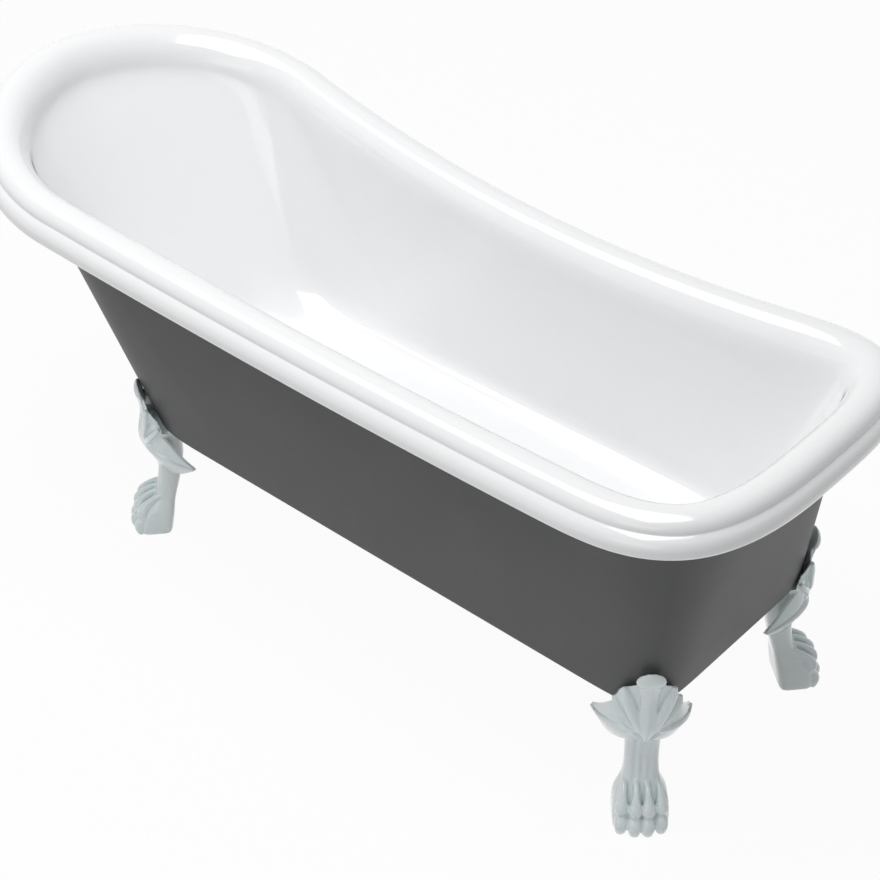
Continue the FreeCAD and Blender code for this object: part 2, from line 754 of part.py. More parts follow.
bearer("bearer_head", "bearer_head_station", total("-bearer_reach"), total("bearer_reach"))
bearer("bearer_middle", "bearer_middle_station", total("-bearer_reach"), total("bearer_reach"))
bearer("bearer_low_near", "bearer_low_station", total("-bearer_reach"), total("-bearer_low_gap"))
bearer("bearer_low_far", "bearer_low_station", total("bearer_low_gap"), total("bearer_reach"))


def corner_block(label, placement):
    """Block on the flange over one foot, bored for the threaded inserts."""
    body = padded(label,
                  (total("-block_back"), total("-block_half_width")),
                  (total("-block_front"), total("block_half_width")),
                  BEARER_THICK)
    radius = total("insert_radius", "seat_gap")
    pocket_circle(body, label + "_bore_a", total("-bolt_back"), total("bolt_side"), radius)
    pocket_circle(body, label + "_bore_b", total("-bolt_back"), total("-bolt_side"), radius)
    body.Placement = FreeCAD.Placement(placement.Base + FreeCAD.Vector(0, 0, BASE_TOP[1]),
                                       placement.Rotation)


for name, end, side in FEET:
    corner_block("corner_block_" + name, foot_placement(end, side))


# ---------------------------------------------------------------- claw feet

def oval(front, back, half_width, z, power=2.6, count=24):
    """Closed row of a foot's section between its front and back."""
    row = []
    for k in range(count):
        angle = 2.0 * math.pi * k / count
        along = math.copysign(abs(math.cos(angle)) ** (2.0 / power), math.cos(angle))
        across = math.copysign(abs(math.sin(angle)) ** (2.0 / power), math.sin(angle))
        middle = (front + back) / 2.0
        row.append(FreeCAD.Vector(middle + along * (front - back) / 2.0, across * half_width, z))
    return row


def leaf_back(z):
    """X of the leaf's back at a height: two flat slants that meet at its bend."""
    bend = size("leaf_bend")
    if z < bend:
        share = (z - size("base_height")) / (bend - size("base_height"))
        return size("leaf_back_low") + share * (size("leaf_back_bend") - size("leaf_back_low"))
    share = (z - bend) / (size("leaf_top") - bend)
    return size("leaf_back_bend") + share * (size("leaf_back_top") - size("leaf_back_bend"))


def leg():
    """Paw, shank and leaf through oval sections; the leaf's back is spare, and is cut later.

    A section below the seat is its height, as a share of the seat's, then its front, back and
    half width, as shares of the paw's half width. One above it has no back of its own.
    """
    seat = size("base_height")
    paw = size("paw_half_width")
    spare = 8.0
    below = (
        (0.000, 0.659, -0.614, 0.955),
        (0.034, 0.705, -0.636, 0.989),
        (0.120, 0.727, -0.682, 1.000),
        (0.206, 0.568, -0.750, 0.909),
        (0.275, 0.227, -0.841, 0.705),
        (0.361, -0.091, -0.955, 0.591),
        (0.473, -0.250, -1.159, 0.568),
        (0.585, -0.295, -1.273, 0.591),
        (0.688, -0.159, -1.364, 0.636),
        (0.791, 0.159, -1.364, 0.750),
        (0.886, 0.341, -1.273, 0.864),
        (0.955, 0.318, -1.045, 0.955),
        (0.983, 0.273, -0.682, 0.977),
    )
    above = (
        (-0.013, 0.250, 0.977),
        (0.126, 0.182, 0.955),
        (0.327, 0.136, 0.864),
        (0.528, 0.205, 0.773),
    )
    rows = [oval(front * paw, back * paw, half_width * paw, share * seat)
            for share, front, back, half_width in below]
    for share, front, half_width in above:
        z = seat + share * (size("leaf_top") - seat)
        rows.append(oval(front * paw, leaf_back(z) - spare, half_width * paw, z))
    return capped_solid(rows)


def toe(across, set_back):
    """One toe: a round-ended rod from its knuckle to its end."""
    radius = size("toe_radius")
    knuckle = FreeCAD.Vector(size("knuckle_reach") - set_back, across, size("knuckle_height"))
    end = FreeCAD.Vector(size("toe_reach") - set_back, across, size("toe_height"))
    run = (end - knuckle).Length
    slant = radius * math.sqrt(0.5)
    top = FreeCAD.Vector(0, 0, run)
    outline = Part.Wire([
        Part.Arc(FreeCAD.Vector(0, 0, -radius), FreeCAD.Vector(slant, 0, -slant),
                 FreeCAD.Vector(radius, 0, 0)).toShape(),
        Part.makeLine(FreeCAD.Vector(radius, 0, 0), FreeCAD.Vector(radius, 0, run)),
        Part.Arc(FreeCAD.Vector(radius, 0, run), top + FreeCAD.Vector(slant, 0, slant),
                 top + FreeCAD.Vector(0, 0, radius)).toShape(),
        Part.makeLine(top + FreeCAD.Vector(0, 0, radius), FreeCAD.Vector(0, 0, -radius)),
    ])
    rod = Part.Face(outline).revolve(FreeCAD.Vector(0, 0, 0), FreeCAD.Vector(0, 0, 1), 360)
    rod.Placement = FreeCAD.Placement(knuckle, FreeCAD.Rotation(FreeCAD.Vector(0, 0, 1), end - knuckle))
    return rod


def wing(side):
    """Side leaf that sweeps back under the skin, in shares of the paw's half width.

    Each spot is its centre's X, Y and rise above the seat, then its half height and half thickness.
    """
    seat = size("base_height")
    paw = size("paw_half_width")
    spots = (
        (-0.27, 0.45, -0.57, 0.455, 0.205),
        (-0.77, 1.00, -0.52, 0.455, 0.159),
        (-1.25, 1.41, -0.80, 0.318, 0.114),
        (-1.66, 1.68, -1.16, 0.080, 0.057),
    )
    wires = []
    for back, aside, below, half_height, half_thickness in spots:
        across = FreeCAD.Vector(-0.75, -0.66, 0) * (half_thickness * paw)
        ellipse = Part.Ellipse(FreeCAD.Vector(0, 0, half_height * paw), across, FreeCAD.Vector(0, 0, 0))
        wire = Part.Wire([ellipse.toShape()])
        wire.translate(FreeCAD.Vector(back * paw, aside * paw, seat + below * paw))
        wires.append(wire)
    horn = Part.makeLoft(wires, True, True)
    return horn if side > 0 else horn.mirror(FreeCAD.Vector(0, 0, 0), FreeCAD.Vector(0, 1, 0))


def behind_leaf():
    """Everything behind the leaf's back and above the shelf."""
    low = size("base_height")
    bend = size("leaf_bend")
    high = size("leaf_top") + 2.0 * size("leaf_cap_radius")
    reach = 3.0 * size("shelf_depth")
    corners = (FreeCAD.Vector(leaf_back(low), -reach, low), FreeCAD.Vector(leaf_back(bend), -reach, bend),
               FreeCAD.Vector(leaf_back(high), -reach, high),
               FreeCAD.Vector(-reach, -reach, high), FreeCAD.Vector(-reach, -reach, low))
    face = Part.Face(Part.makePolygon(corners + corners[:1]))
    return face.extrude(FreeCAD.Vector(0, 2.0 * reach, 0))


def casting():
    """One claw foot with its shelf, bolt holes and the seat of its levelling screw."""
    cap = size("leaf_cap_radius")
    lobe = size("leaf_lobe_radius")
    top = size("leaf_top")
    pieces = [Part.makeSphere(cap, FreeCAD.Vector(leaf_back(top - cap) - 2.0, 0, top - cap))]
    for side in (-1, 1):
        lobe_height = size("leaf_lobe_height")
        spot = FreeCAD.Vector(leaf_back(lobe_height) - 2.0, side * size("leaf_lobe_side"), lobe_height)
        pieces.append(Part.makeSphere(lobe, spot))
        pieces.append(wing(side))
        for place, set_back in ((0.5, 0.0), (1.5, 5.0)):
            pieces.append(toe(side * place * size("toe_pitch"), set_back))
    shelf_under = size("base_height") - size("shelf_thick")
    shelf_corner = FreeCAD.Vector(-size("shelf_depth"), -size("shelf_half_width"), shelf_under)
    pieces.append(Part.makeBox(size("shelf_depth") - 10.0, 2.0 * size("shelf_half_width"),
                               size("shelf_thick"), shelf_corner))
    solid = fuse_each(leg(), pieces)
    up = FreeCAD.Vector(0, 0, 1)
    cuts = [behind_leaf()]
    for across in (-1, 1):
        spot = FreeCAD.Vector(-size("bolt_back"), across * size("bolt_side"), shelf_under)
        cuts.append(drill(spot, up, size("bolt_hole"), 2.0 * size("shelf_thick")))
    screw = FreeCAD.Vector(-size("level_back"), 0, 0)
    pad_room = size("level_lift") + size("level_pad_thick") + size("level_play")
    cuts.append(drill(screw, up, size("level_pad_radius") + size("level_play"), pad_room))
    cuts.append(drill(screw, up, size("level_screw_radius") + size("level_play"),
                      size("level_screw_top") + size("level_play")))
    return cut_each(solid, cuts)


CASTING = casting()
for name, end, side in FEET:
    free_form("claw_foot_" + name, CASTING, foot_placement(end, side))


# ---------------------------------------------------------------- foot fasteners

def ring(outer, inner, thickness, base):
    body = Part.makeCylinder(outer, thickness, base)
    return body.cut(Part.makeCylinder(inner, thickness, base))


def hexagon(across, thickness, base):
    """Six-sided prism, round which a spanner fits."""
    reach = across / math.sqrt(3.0)
    corners = [base + FreeCAD.Vector(reach * math.cos(math.radians(60 * k)),
                                     reach * math.sin(math.radians(60 * k)), 0) for k in range(7)]
    return Part.Face(Part.makePolygon(corners)).extrude(FreeCAD.Vector(0, 0, thickness))


def bolts():
    under_washer = size("base_height") - size("shelf_thick") - size("washer_thick")
    length = BASE_TOP[1] + size("insert_length") - under_washer
    group = []
    for spot in BOLTS:
        base = spot + FreeCAD.Vector(0, 0, under_washer)
        head = hexagon(size("bolt_head_across"), size("bolt_head_thick"),
                       base - FreeCAD.Vector(0, 0, size("bolt_head_thick")))
        group.append(head.fuse(Part.makeCylinder(size("bolt_radius"), length, base)).removeSplitter())
    return Part.makeCompound(group)


def washers():
    level = FreeCAD.Vector(0, 0, size("base_height") - size("shelf_thick") - size("washer_thick"))
    return Part.makeCompound([ring(size("washer_radius"), size("bolt_hole"), size("washer_thick"), spot + level)
                              for spot in BOLTS])


def inserts():
    level = FreeCAD.Vector(0, 0, BASE_TOP[1])
    bore = size("bolt_radius") + 0.5 * (size("bolt_hole") - size("bolt_radius"))
    return Part.makeCompound([ring(size("insert_radius"), bore, size("insert_length"), spot + level)
                              for spot in BOLTS])


free_form("foot_bolts", bolts())
free_form("foot_washers", washers())
free_form("threaded_inserts", inserts())


# ---------------------------------------------------------------- levelling screws

for name, end, side in FEET:
    pad_top = total("level_pad_thick")
    screw = turned("levelling_foot_" + name, (
        (ZERO, ZERO),
        (total("level_pad_radius"), ZERO),
        (total("level_pad_radius"), pad_top),
        (total("level_screw_radius"), pad_top),
        (total("level_screw_radius"), total("level_screw_top", "-level_lift")),
        (ZERO, total("level_screw_top", "-level_lift")),
    ))
    sole = foot_placement(end, side)
    screw.Placement = FreeCAD.Placement(
        sole.multVec(FreeCAD.Vector(-size("level_back"), 0, size("level_lift"))), sole.Rotation)


# ---------------------------------------------------------------- waste and plug

def washer_body(label, outer, inner, thickness, z):
    """Flat round seal about the waste's axis."""
    body = turned(label, (
        (inner, ZERO),
        (outer, ZERO),
        (outer, thickness),
        (inner, thickness),
    ))
    return put(body, x=total("waste_station"), z=z)


washer_body("waste_flange_seal", total("waste_flange_radius"), total("waste_hole"),
            total("waste_seal_thick"), total("floor_height"))
washer_body("waste_body_gasket", total("waste_body_flange"), total("waste_hole"),
            total("waste_gasket_thick"), total("floor_height", "-basin_sheet", "-waste_gasket_thick"))


def spokes(hub, reach, bore, width, height, base, count=3):
    """Round hub with spokes that reach a surrounding tube."""
    star = Part.makeCylinder(hub, height, base)
    for k in range(count):
        bar = Part.makeBox(reach, width, height, FreeCAD.Vector(0, -width / 2.0, 0))
        bar.rotate(FreeCAD.Vector(0, 0, 0), FreeCAD.Vector(0, 0, 1), 360.0 * k / count + 60.0)
        bar.translate(base)
        star = star.fuse(bar)
    return star.cut(Part.makeCylinder(bore, height, base))


FLANGE_UNDER = size("floor_height") + size("waste_seal_thick")
FLANGE_TOP = FLANGE_UNDER + size("waste_flange_thick")
TAIL_END = FLANGE_UNDER - size("waste_tail_length")


def waste_flange():
    """Flange with its tail and the three-spoked guide of the plug's stem."""
    disc = Part.makeCylinder(size("waste_flange_radius"), size("waste_flange_thick"),
                             WASTE + FreeCAD.Vector(0, 0, FLANGE_UNDER))
    tail = Part.makeCylinder(size("waste_tail_radius"), size("waste_tail_length"),
                             WASTE + FreeCAD.Vector(0, 0, TAIL_END))
    bore = drill(WASTE + FreeCAD.Vector(0, 0, TAIL_END), FreeCAD.Vector(0, 0, 1),
                 size("waste_tail_bore"), 2.0 * size("waste_tail_length"))
    reach = (size("waste_tail_bore") + size("waste_tail_radius")) / 2.0
    guide = spokes(size("guide_hub"), reach, size("stem_radius") + size("stem_play"),
                   size("guide_spoke"), size("guide_height"), WASTE + FreeCAD.Vector(0, 0, TAIL_END))
    return disc.fuse(tail).cut(bore).fuse(guide).removeSplitter()


free_form("waste_flange", waste_flange())

plug = turned("plug", (
    (ZERO, total("-stem_length")),
    (total("stem_radius"), total("-stem_length")),
    (total("stem_radius"), ZERO),
    (total("plug_radius"), ZERO),
    (total("plug_radius"), total("plug_edge")),
    (ZERO, total("plug_edge", "plug_crown")),
))
put(plug, x=total("waste_station"),
    z=total("floor_height", "waste_seal_thick", "waste_flange_thick", "plug_seal_thick", "seat_gap"))
washer_body("plug_seal", total("plug_seal_radius"), total("waste_tail_bore"), total("plug_seal_thick"),
            total("floor_height", "waste_seal_thick", "waste_flange_thick", "seat_gap"))

pin = turned("lifting_pin", (
    (ZERO, total("-pin_length")),
    (total("pin_radius"), total("-pin_length")),
    (total("pin_radius"), ZERO),
    (ZERO, ZERO),
))
put(pin, x=total("waste_station"),
    z=total("floor_height", "waste_seal_thick", "waste_flange_thick", "plug_seal_thick", "-stem_length"))


def waste_body():
    """Cup under the floor with its outlet, overflow branch, cable boss and pin guide."""
    up = FreeCAD.Vector(0, 0, 1)
    flange_under = BOARD_TOP[1] - size("waste_gasket_thick") - size("waste_body_flange_thick")
    cup_under = size("floor_height") - size("waste_body_depth")
    flange = Part.makeCylinder(size("waste_body_flange"), size("waste_body_flange_thick"),
                               WASTE + up * flange_under)
    cup = Part.makeCylinder(size("waste_body_radius"), flange_under - cup_under, WASTE + up * cup_under)
    outlet = Part.makeCylinder(size("outlet_radius"), size("outlet_length"),
                               WASTE + up * (cup_under - size("outlet_length")))
    out = FreeCAD.Vector(1, 0, 0)
    shoulder = size("waste_body_radius") + size("branch_length")
    level = WASTE + up * size("branch_height")
    branch = Part.makeCylinder(size("branch_radius"), shoulder, level, out)
    spigot = Part.makeCylinder(size("pipe_radius"), size("pipe_grip"), level + out * shoulder, out)
    boss = Part.makeCylinder(2.0 * size("cable_radius"), shoulder, WASTE + up * size("cable_height"), out)
    solid = flange.fuse([cup, outlet, branch, spigot, boss])
    floor_of_cup = cup_under + size("pin_guide_height") / 2.0
    room = Part.makeCylinder(size("waste_body_bore"), flange_under - floor_of_cup + 20.0,
                             WASTE + up * floor_of_cup)
    drain = Part.makeCylinder(size("outlet_bore"), size("outlet_length") + size("pin_guide_height"),
                              WASTE + up * (cup_under - size("outlet_length")))
    side = Part.makeCylinder(size("pipe_bore"), shoulder + size("pipe_grip"), level, out)
    cable = Part.makeCylinder(size("cable_radius") + size("stem_play"), shoulder,
                              WASTE + up * size("cable_height"), out)
    reach = (size("waste_body_bore") + size("waste_body_radius")) / 2.0
    guide = spokes(size("guide_hub"), reach, size("pin_radius") + size("stem_play"),
                   size("guide_spoke"), size("pin_guide_height"), WASTE + up * floor_of_cup)
    return solid.cut([room, drain, side, cable]).fuse(guide).removeSplitter()


free_form("waste_body", waste_body())


# ---------------------------------------------------------------- overflow

FACE = FreeCAD.Placement(OVERFLOW + INTO_BASIN * size("faceplate_stand_off"),
                         FreeCAD.Rotation(FreeCAD.Vector(0, 0, 1), INTO_BASIN))


def behind(*aliases):
    """Placement on the overflow's axis, sunk behind the wet face by named sizes."""
    return OVERFLOW - INTO_BASIN * sum(size(alias) for alias in aliases)


plate = turned("overflow_faceplate", (
    (total("spindle_radius"), ZERO),
    (total("overflow_hole", "-seat_gap", "-seat_gap"), ZERO),
    (total("overflow_hole", "-seat_gap", "-seat_gap"), total("faceplate_tail")),
    (total("faceplate_radius"), total("faceplate_tail")),
    (total("faceplate_radius"), total("faceplate_tail", "faceplate_thick")),
    (total("spindle_radius"), total("faceplate_tail", "faceplate_thick")),
))
for name, x, y in (("low_a", "drain_offset", "drain_offset"), ("low_b", "drain_offset", "-drain_offset"),
                   ("high_a", "-drain_offset", "drain_offset"), ("high_b", "-drain_offset", "-drain_offset")):
    pocket_circle(plate, "overflow_faceplate_drain_" + name, total(x), total(y), total("drain_radius"))
plate.Placement = FreeCAD.Placement(FACE.Base - INTO_BASIN * size("faceplate_tail"), FACE.Rotation)

knob = turned("overflow_knob", (
    (total("spindle_radius"), total("faceplate_thick", "knob_gap")),
    (total("knob_radius"), total("faceplate_thick", "knob_gap")),
    (total("knob_radius"), total("faceplate_thick", "knob_gap", "knob_thick")),
    (total("spindle_radius"), total("faceplate_thick", "knob_gap", "knob_thick")),
))
knob.Placement = FACE
spindle = turned("overflow_spindle", (
    (ZERO, total("faceplate_thick", "knob_gap", "-spindle_length")),
    (total("spindle_radius", "-seat_gap"), total("faceplate_thick", "knob_gap", "-spindle_length")),
    (total("spindle_radius", "-seat_gap"), total("faceplate_thick", "knob_gap", "knob_thick")),
    (ZERO, total("faceplate_thick", "knob_gap", "knob_thick")),
))
spindle.Placement = FACE

gasket = turned("overflow_gasket", (
    (total("overflow_hole"), ZERO),
    (total("overflow_body_radius"), ZERO),
    (total("overflow_body_radius"), total("gasket_thick")),
    (total("overflow_hole"), total("gasket_thick")),
))
gasket.Placement = FreeCAD.Placement(behind("basin_sheet", "seat_gap", "gasket_thick"), FACE.Rotation)

DOWN = FreeCAD.Vector(-INTO_BASIN.z, 0, INTO_BASIN.x)
CUP_FRONT = behind("basin_sheet", "seat_gap", "gasket_thick")
SPIGOT_TOP = CUP_FRONT - INTO_BASIN * (0.5 * size("overflow_body_depth"))


def overflow_body():
    """Shallow cup behind the wall with a spigot that points down the wall."""
    back = CUP_FRONT - INTO_BASIN * size("overflow_body_depth")
    wall = size("overflow_body_wall")
    cup = Part.makeCylinder(size("overflow_body_radius"), size("overflow_body_depth"), back, INTO_BASIN)
    run = size("overflow_body_radius") + size("pipe_grip")
    spigot = Part.makeCylinder(size("pipe_radius"), run, SPIGOT_TOP, DOWN)
    room = Part.makeCylinder(size("overflow_hole"), size("overflow_body_depth"),
                             back + INTO_BASIN * wall, INTO_BASIN)
    side = Part.makeCylinder(size("pipe_bore"), run, SPIGOT_TOP, DOWN)
    return cup.fuse(spigot).cut([room, side])


free_form("overflow_body", overflow_body())


# ---------------------------------------------------------------- hose and cable

def tube_along(points, outer, inner):
    """Tube, or rod when inner is zero, on a smooth curve that starts and ends straight."""
    path = Part.BSplineCurve()
    path.interpolate(Points=points, InitialTangent=points[1] - points[0],
                     FinalTangent=points[-1] - points[-2])
    track = Part.Wire([path.toShape()])
    start = points[0]
    heading = path.tangent(path.FirstParameter)[0]
    skins = []
    for radius in (outer, inner):
        if radius > 0.0:
            circle = Part.Wire([Part.Circle(start, heading, radius).toShape()])
            skins.append(track.makePipeShell([circle], True, False))
    return skins[0].cut(skins[1]) if len(skins) == 2 else skins[0]


def route_spot(name, aside):
    """Point of a route, from its inset behind the low end and its rise above the basin floor."""
    return FreeCAD.Vector(size("low_end") - size(name + "_inset"), aside,
                          size("floor_height") + size(name + "_rise"))


def hose_route():
    """From the overflow's spigot down the gap and under the floor to the waste body."""
    shoulder = SPIGOT_TOP + DOWN * size("overflow_body_radius")
    branch = size("waste_station") + size("waste_body_radius") + size("branch_length")
    level = size("branch_height")
    return [
        shoulder + DOWN * size("hose_gap"),
        shoulder + DOWN * (0.5 * size("pipe_grip")),
        shoulder + DOWN * size("pipe_grip"),
        route_spot("route_wall", 0.0),
        route_spot("route_bend", 0.0),
        route_spot("route_turn", 0.0),
        FreeCAD.Vector(size("hose_level_station"), 0, level),
        FreeCAD.Vector(branch + size("pipe_grip"), 0, level),
        FreeCAD.Vector(branch + 0.5 * size("pipe_grip"), 0, level),
        FreeCAD.Vector(branch + size("hose_gap"), 0, level),
    ]


def cable_route():
    """Beside the hose from the overflow body to the boss of the waste body."""
    aside = size("cable_side")
    edge = size("waste_station") + size("waste_body_bore")
    level = size("cable_height")
    chord = math.sqrt(size("overflow_body_radius") ** 2 - (aside - size("cable_radius")) ** 2)
    start = SPIGOT_TOP + DOWN * (chord + size("seat_gap")) + FreeCAD.Vector(0, aside, 0)
    return [
        start,
        start + DOWN * size("pipe_grip"),
        route_spot("route_wall", aside),
        route_spot("route_bend", aside),
        route_spot("route_turn", aside),
        route_spot("cable_turn", 0.8 * aside),
        route_spot("cable_close", 0.3 * aside),
        FreeCAD.Vector(size("cable_level_station"), 0, level),
        FreeCAD.Vector(edge + 2.0 * size("branch_length"), 0, level),
        FreeCAD.Vector(edge + size("branch_length"), 0, level),
        FreeCAD.Vector(edge, 0, level),
    ]


free_form("overflow_hose", tube_along(hose_route(), size("hose_radius"), size("hose_bore")))
free_form("control_cable", tube_along(cable_route(), size("cable_radius"), 0.0))


# ---------------------------------------------------------------- check and write

doc.recompute()
for item in doc.Objects:
    check(item)
os.makedirs("parts", exist_ok=True)
for node in NODES:
    if node.Shape.isNull() or not node.Shape.isValid() or not node.Shape.Solids:
        raise RuntimeError("%s has no valid shape" % node.Label)
for node in NODES:
    node.Shape.exportStep("parts/%s.step" % node.Label)
    box = node.Shape.BoundBox
    print("%-26s solids %d  volume %10.0f  X %7.1f %7.1f  Y %7.1f %7.1f  Z %6.1f %6.1f"
          % (node.Label, len(node.Shape.Solids), node.Shape.Volume, box.XMin, box.XMax,
             box.YMin, box.YMax, box.ZMin, box.ZMax))
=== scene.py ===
import math

import bpy
import numpy as np
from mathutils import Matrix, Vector


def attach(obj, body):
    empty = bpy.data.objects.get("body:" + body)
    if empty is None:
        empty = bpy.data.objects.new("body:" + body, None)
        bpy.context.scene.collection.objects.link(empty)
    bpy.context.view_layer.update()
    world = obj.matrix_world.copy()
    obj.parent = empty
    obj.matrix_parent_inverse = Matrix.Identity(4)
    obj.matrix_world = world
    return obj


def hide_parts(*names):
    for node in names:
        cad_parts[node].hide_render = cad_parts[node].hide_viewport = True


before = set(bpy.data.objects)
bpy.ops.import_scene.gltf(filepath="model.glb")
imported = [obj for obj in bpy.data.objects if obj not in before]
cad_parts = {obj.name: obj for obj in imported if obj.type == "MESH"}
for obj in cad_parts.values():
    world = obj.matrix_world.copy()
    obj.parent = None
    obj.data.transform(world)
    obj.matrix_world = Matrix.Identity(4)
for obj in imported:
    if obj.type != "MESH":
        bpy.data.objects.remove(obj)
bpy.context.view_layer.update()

# ---------------------------------------------------------------- view and light
# The bath stands on a plain white floor and is seen from above its low near corner.
# A broad lamp overhead and a weaker one at the near side light it evenly.


def placed(name, data):
    """New object that holds a camera, a lamp or a mesh, linked to the scene."""
    item = bpy.data.objects.new(name, data)
    bpy.context.scene.collection.objects.link(item)
    return item


def facing(place, target):
    """Turn that points a camera or lamp from its place to a target, its top upwards."""
    return (Vector(target) - Vector(place)).to_track_quat("-Z", "Y").to_euler()


camera_place = (1.867, -2.017, 2.394)
camera_target = (-0.0433, 0.1611, 0.1506)
camera = placed("camera", bpy.data.cameras.new("camera"))
camera.data.lens = 81.82
camera.data.sensor_width = 36.0
camera.location = camera_place
camera.rotation_euler = facing(camera_place, camera_target)
bpy.context.scene.camera = camera
bpy.context.scene.view_settings.view_transform = "Standard"


def lamp(name, place, target, width, height, power):
    """Rectangular soft lamp that faces a target."""
    light = bpy.data.lights.new(name, "AREA")
    light.shape = "RECTANGLE"
    light.size = width
    light.size_y = height
    light.energy = power
    item = placed(name, light)
    item.location = place
    item.rotation_euler = facing(place, target)


lamp("lamp_over", (-0.4, -0.6, 3.3), (0.05, 0.0, 0.4), width=3.0, height=2.0, power=70.0)
lamp("lamp_near", (0.6, -3.4, 1.6), (0.0, 0.0, 0.3), width=2.2, height=1.2, power=5.5)


class Finish:
    """A node material under construction: nodes are added by kind and joined by links."""

    def __init__(self, name):
        self.material = bpy.data.materials.new(name)
        self.material.use_nodes = True
        self.tree = self.material.node_tree
        self.shader = self.tree.nodes["Principled BSDF"]
        self.output = self.tree.nodes["Material Output"]

    def add(self, kind, **values):
        """New node; keyword values go to its attributes, or to its sockets by name."""
        node = self.tree.nodes.new(kind)
        for key, value in values.items():
            if hasattr(node, key):
                setattr(node, key, value)
            else:
                node.inputs[key.replace("_", " ")].default_value = value
        return node

    def link(self, source, target):
        """Joins a node's output to another node's input."""
        self.tree.links.new(source, target)

    def set(self, **values):
        """Sets the shader's own sockets."""
        for key, value in values.items():
            self.shader.inputs[key.replace("_", " ")].default_value = value

    def noise(self, scale, detail, stretch=(1.0, 1.0, 1.0)):
        """Noise of 0..1 over Object coordinates, which a stretch scales by axis, as for a grain."""
        where = self.add("ShaderNodeTexCoord")
        mapping = self.add("ShaderNodeMapping", Scale=stretch)
        texture = self.add("ShaderNodeTexNoise", Scale=scale, Detail=detail)
        self.link(where.outputs["Object"], mapping.inputs["Vector"])
        self.link(mapping.outputs["Vector"], texture.inputs["Vector"])
        return texture.outputs["Fac"]

    def colours(self, source, *stops):
        """Base colour from a source of 0..1, through two (position, colour) stops."""
        ramp = self.add("ShaderNodeValToRGB")
        for element, (position, colour) in zip(ramp.color_ramp.elements, stops):
            element.position = position
            element.color = (*colour, 1.0)
        self.link(source, ramp.inputs["Fac"])
        self.link(ramp.outputs["Color"], self.shader.inputs["Base Color"])

    def roughness(self, source, low, high):
        """Roughness from a source of 0..1, mapped to low..high."""
        span = self.add("ShaderNodeMapRange", To_Min=low, To_Max=high)
        self.link(source, span.inputs["Value"])
        self.link(span.outputs["Result"], self.shader.inputs["Roughness"])

    def bump(self, source, height):
        """Fine relief in the shading, from a source of 0..1 that stands for a height in metres."""
        relief = self.add("ShaderNodeBump", Distance=height, Strength=1.0)
        self.link(source, relief.inputs["Height"])
        self.link(relief.outputs["Normal"], self.shader.inputs["Normal"])


def open_view(tree):
    """1 where a ray comes from the camera, or off gloss or through glass, and 0 elsewhere."""
    rays = tree.nodes.new("ShaderNodeLightPath")
    total = rays.outputs["Is Camera Ray"]
    for kind in ("Is Glossy Ray", "Is Transmission Ray"):
        both = tree.nodes.new("ShaderNodeMath")
        both.operation = "MAXIMUM"
        tree.links.new(total, both.inputs[0])
        tree.links.new(rays.outputs[kind], both.inputs[1])
        total = both.outputs[0]
    return total


glow_share = 0.95
backdrop = Finish("backdrop_white")
backdrop.set(Base_Color=(0.93, 0.93, 0.93, 1.0), Roughness=0.9)
glow = backdrop.add("ShaderNodeEmission", Strength=1.0)
veil = backdrop.add("ShaderNodeMixShader", Fac=glow_share)
seen = backdrop.add("ShaderNodeMixShader")
backdrop.link(backdrop.shader.outputs["BSDF"], veil.inputs[1])
backdrop.link(glow.outputs["Emission"], veil.inputs[2])
backdrop.link(open_view(backdrop.tree), seen.inputs["Fac"])
backdrop.link(backdrop.shader.outputs["BSDF"], seen.inputs[1])
backdrop.link(veil.outputs["Shader"], seen.inputs[2])
backdrop.link(seen.outputs["Shader"], backdrop.output.inputs["Surface"])

floor_half = 9.0
floor_drop = 0.0005
floor_corners = [(x * floor_half, y * floor_half, -floor_drop)
                 for x, y in ((-1, -1), (1, -1), (1, 1), (-1, 1))]
floor_mesh = bpy.data.meshes.new("floor")
floor_mesh.from_pydata(floor_corners, [], [(0, 1, 2, 3)])
floor_mesh.materials.append(backdrop.material)
floor_sheet = placed("floor", floor_mesh)

world = bpy.data.worlds.new("studio")
bpy.context.scene.world = world
world.use_nodes = True
sky = world.node_tree
sky_light = sky.nodes["Background"]
sky_light.inputs["Color"].default_value = (0.86, 0.87, 0.88, 1.0)
sky_light.inputs["Strength"].default_value = 0.32
sky_seen = sky.nodes.new("ShaderNodeBackground")
sky_seen.inputs["Color"].default_value = (1.0, 1.0, 1.0, 1.0)
sky_mix = sky.nodes.new("ShaderNodeMixShader")
sky.links.new(open_view(sky), sky_mix.inputs["Fac"])
sky.links.new(sky_light.outputs["Background"], sky_mix.inputs[1])
sky.links.new(sky_seen.outputs["Background"], sky_mix.inputs[2])
sky.links.new(sky_mix.outputs["Shader"], sky.nodes["World Output"].inputs["Surface"])


# ---------------------------------------------------------------- basin
# The basin is one sheet of gloss white sanitary acrylic: floor, cove, walls, and a rim
# with a broad upper roll, a crease and a lower bead that hangs over the skin.
# It is bonded to the base board, and is pierced for the waste and the overflow.

bath_half = 0.850
rim_low_station = 0.201
rim_height = 0.576
rim_sweep = 0.0876
rim_width = 0.091
rim_middle_half = 0.3123
rim_lean = 0.0303
rim_flare = 0.0587
basin_sheet = 0.005
basin_floor = 0.285
floor_low_end = 0.634
floor_head_end = -0.395
floor_half_width = 0.204
floor_fullness = 4.0
floor_cove = 0.079
corner_round = 0.238
loop_points = 360
crease_angle = math.radians(40.0)


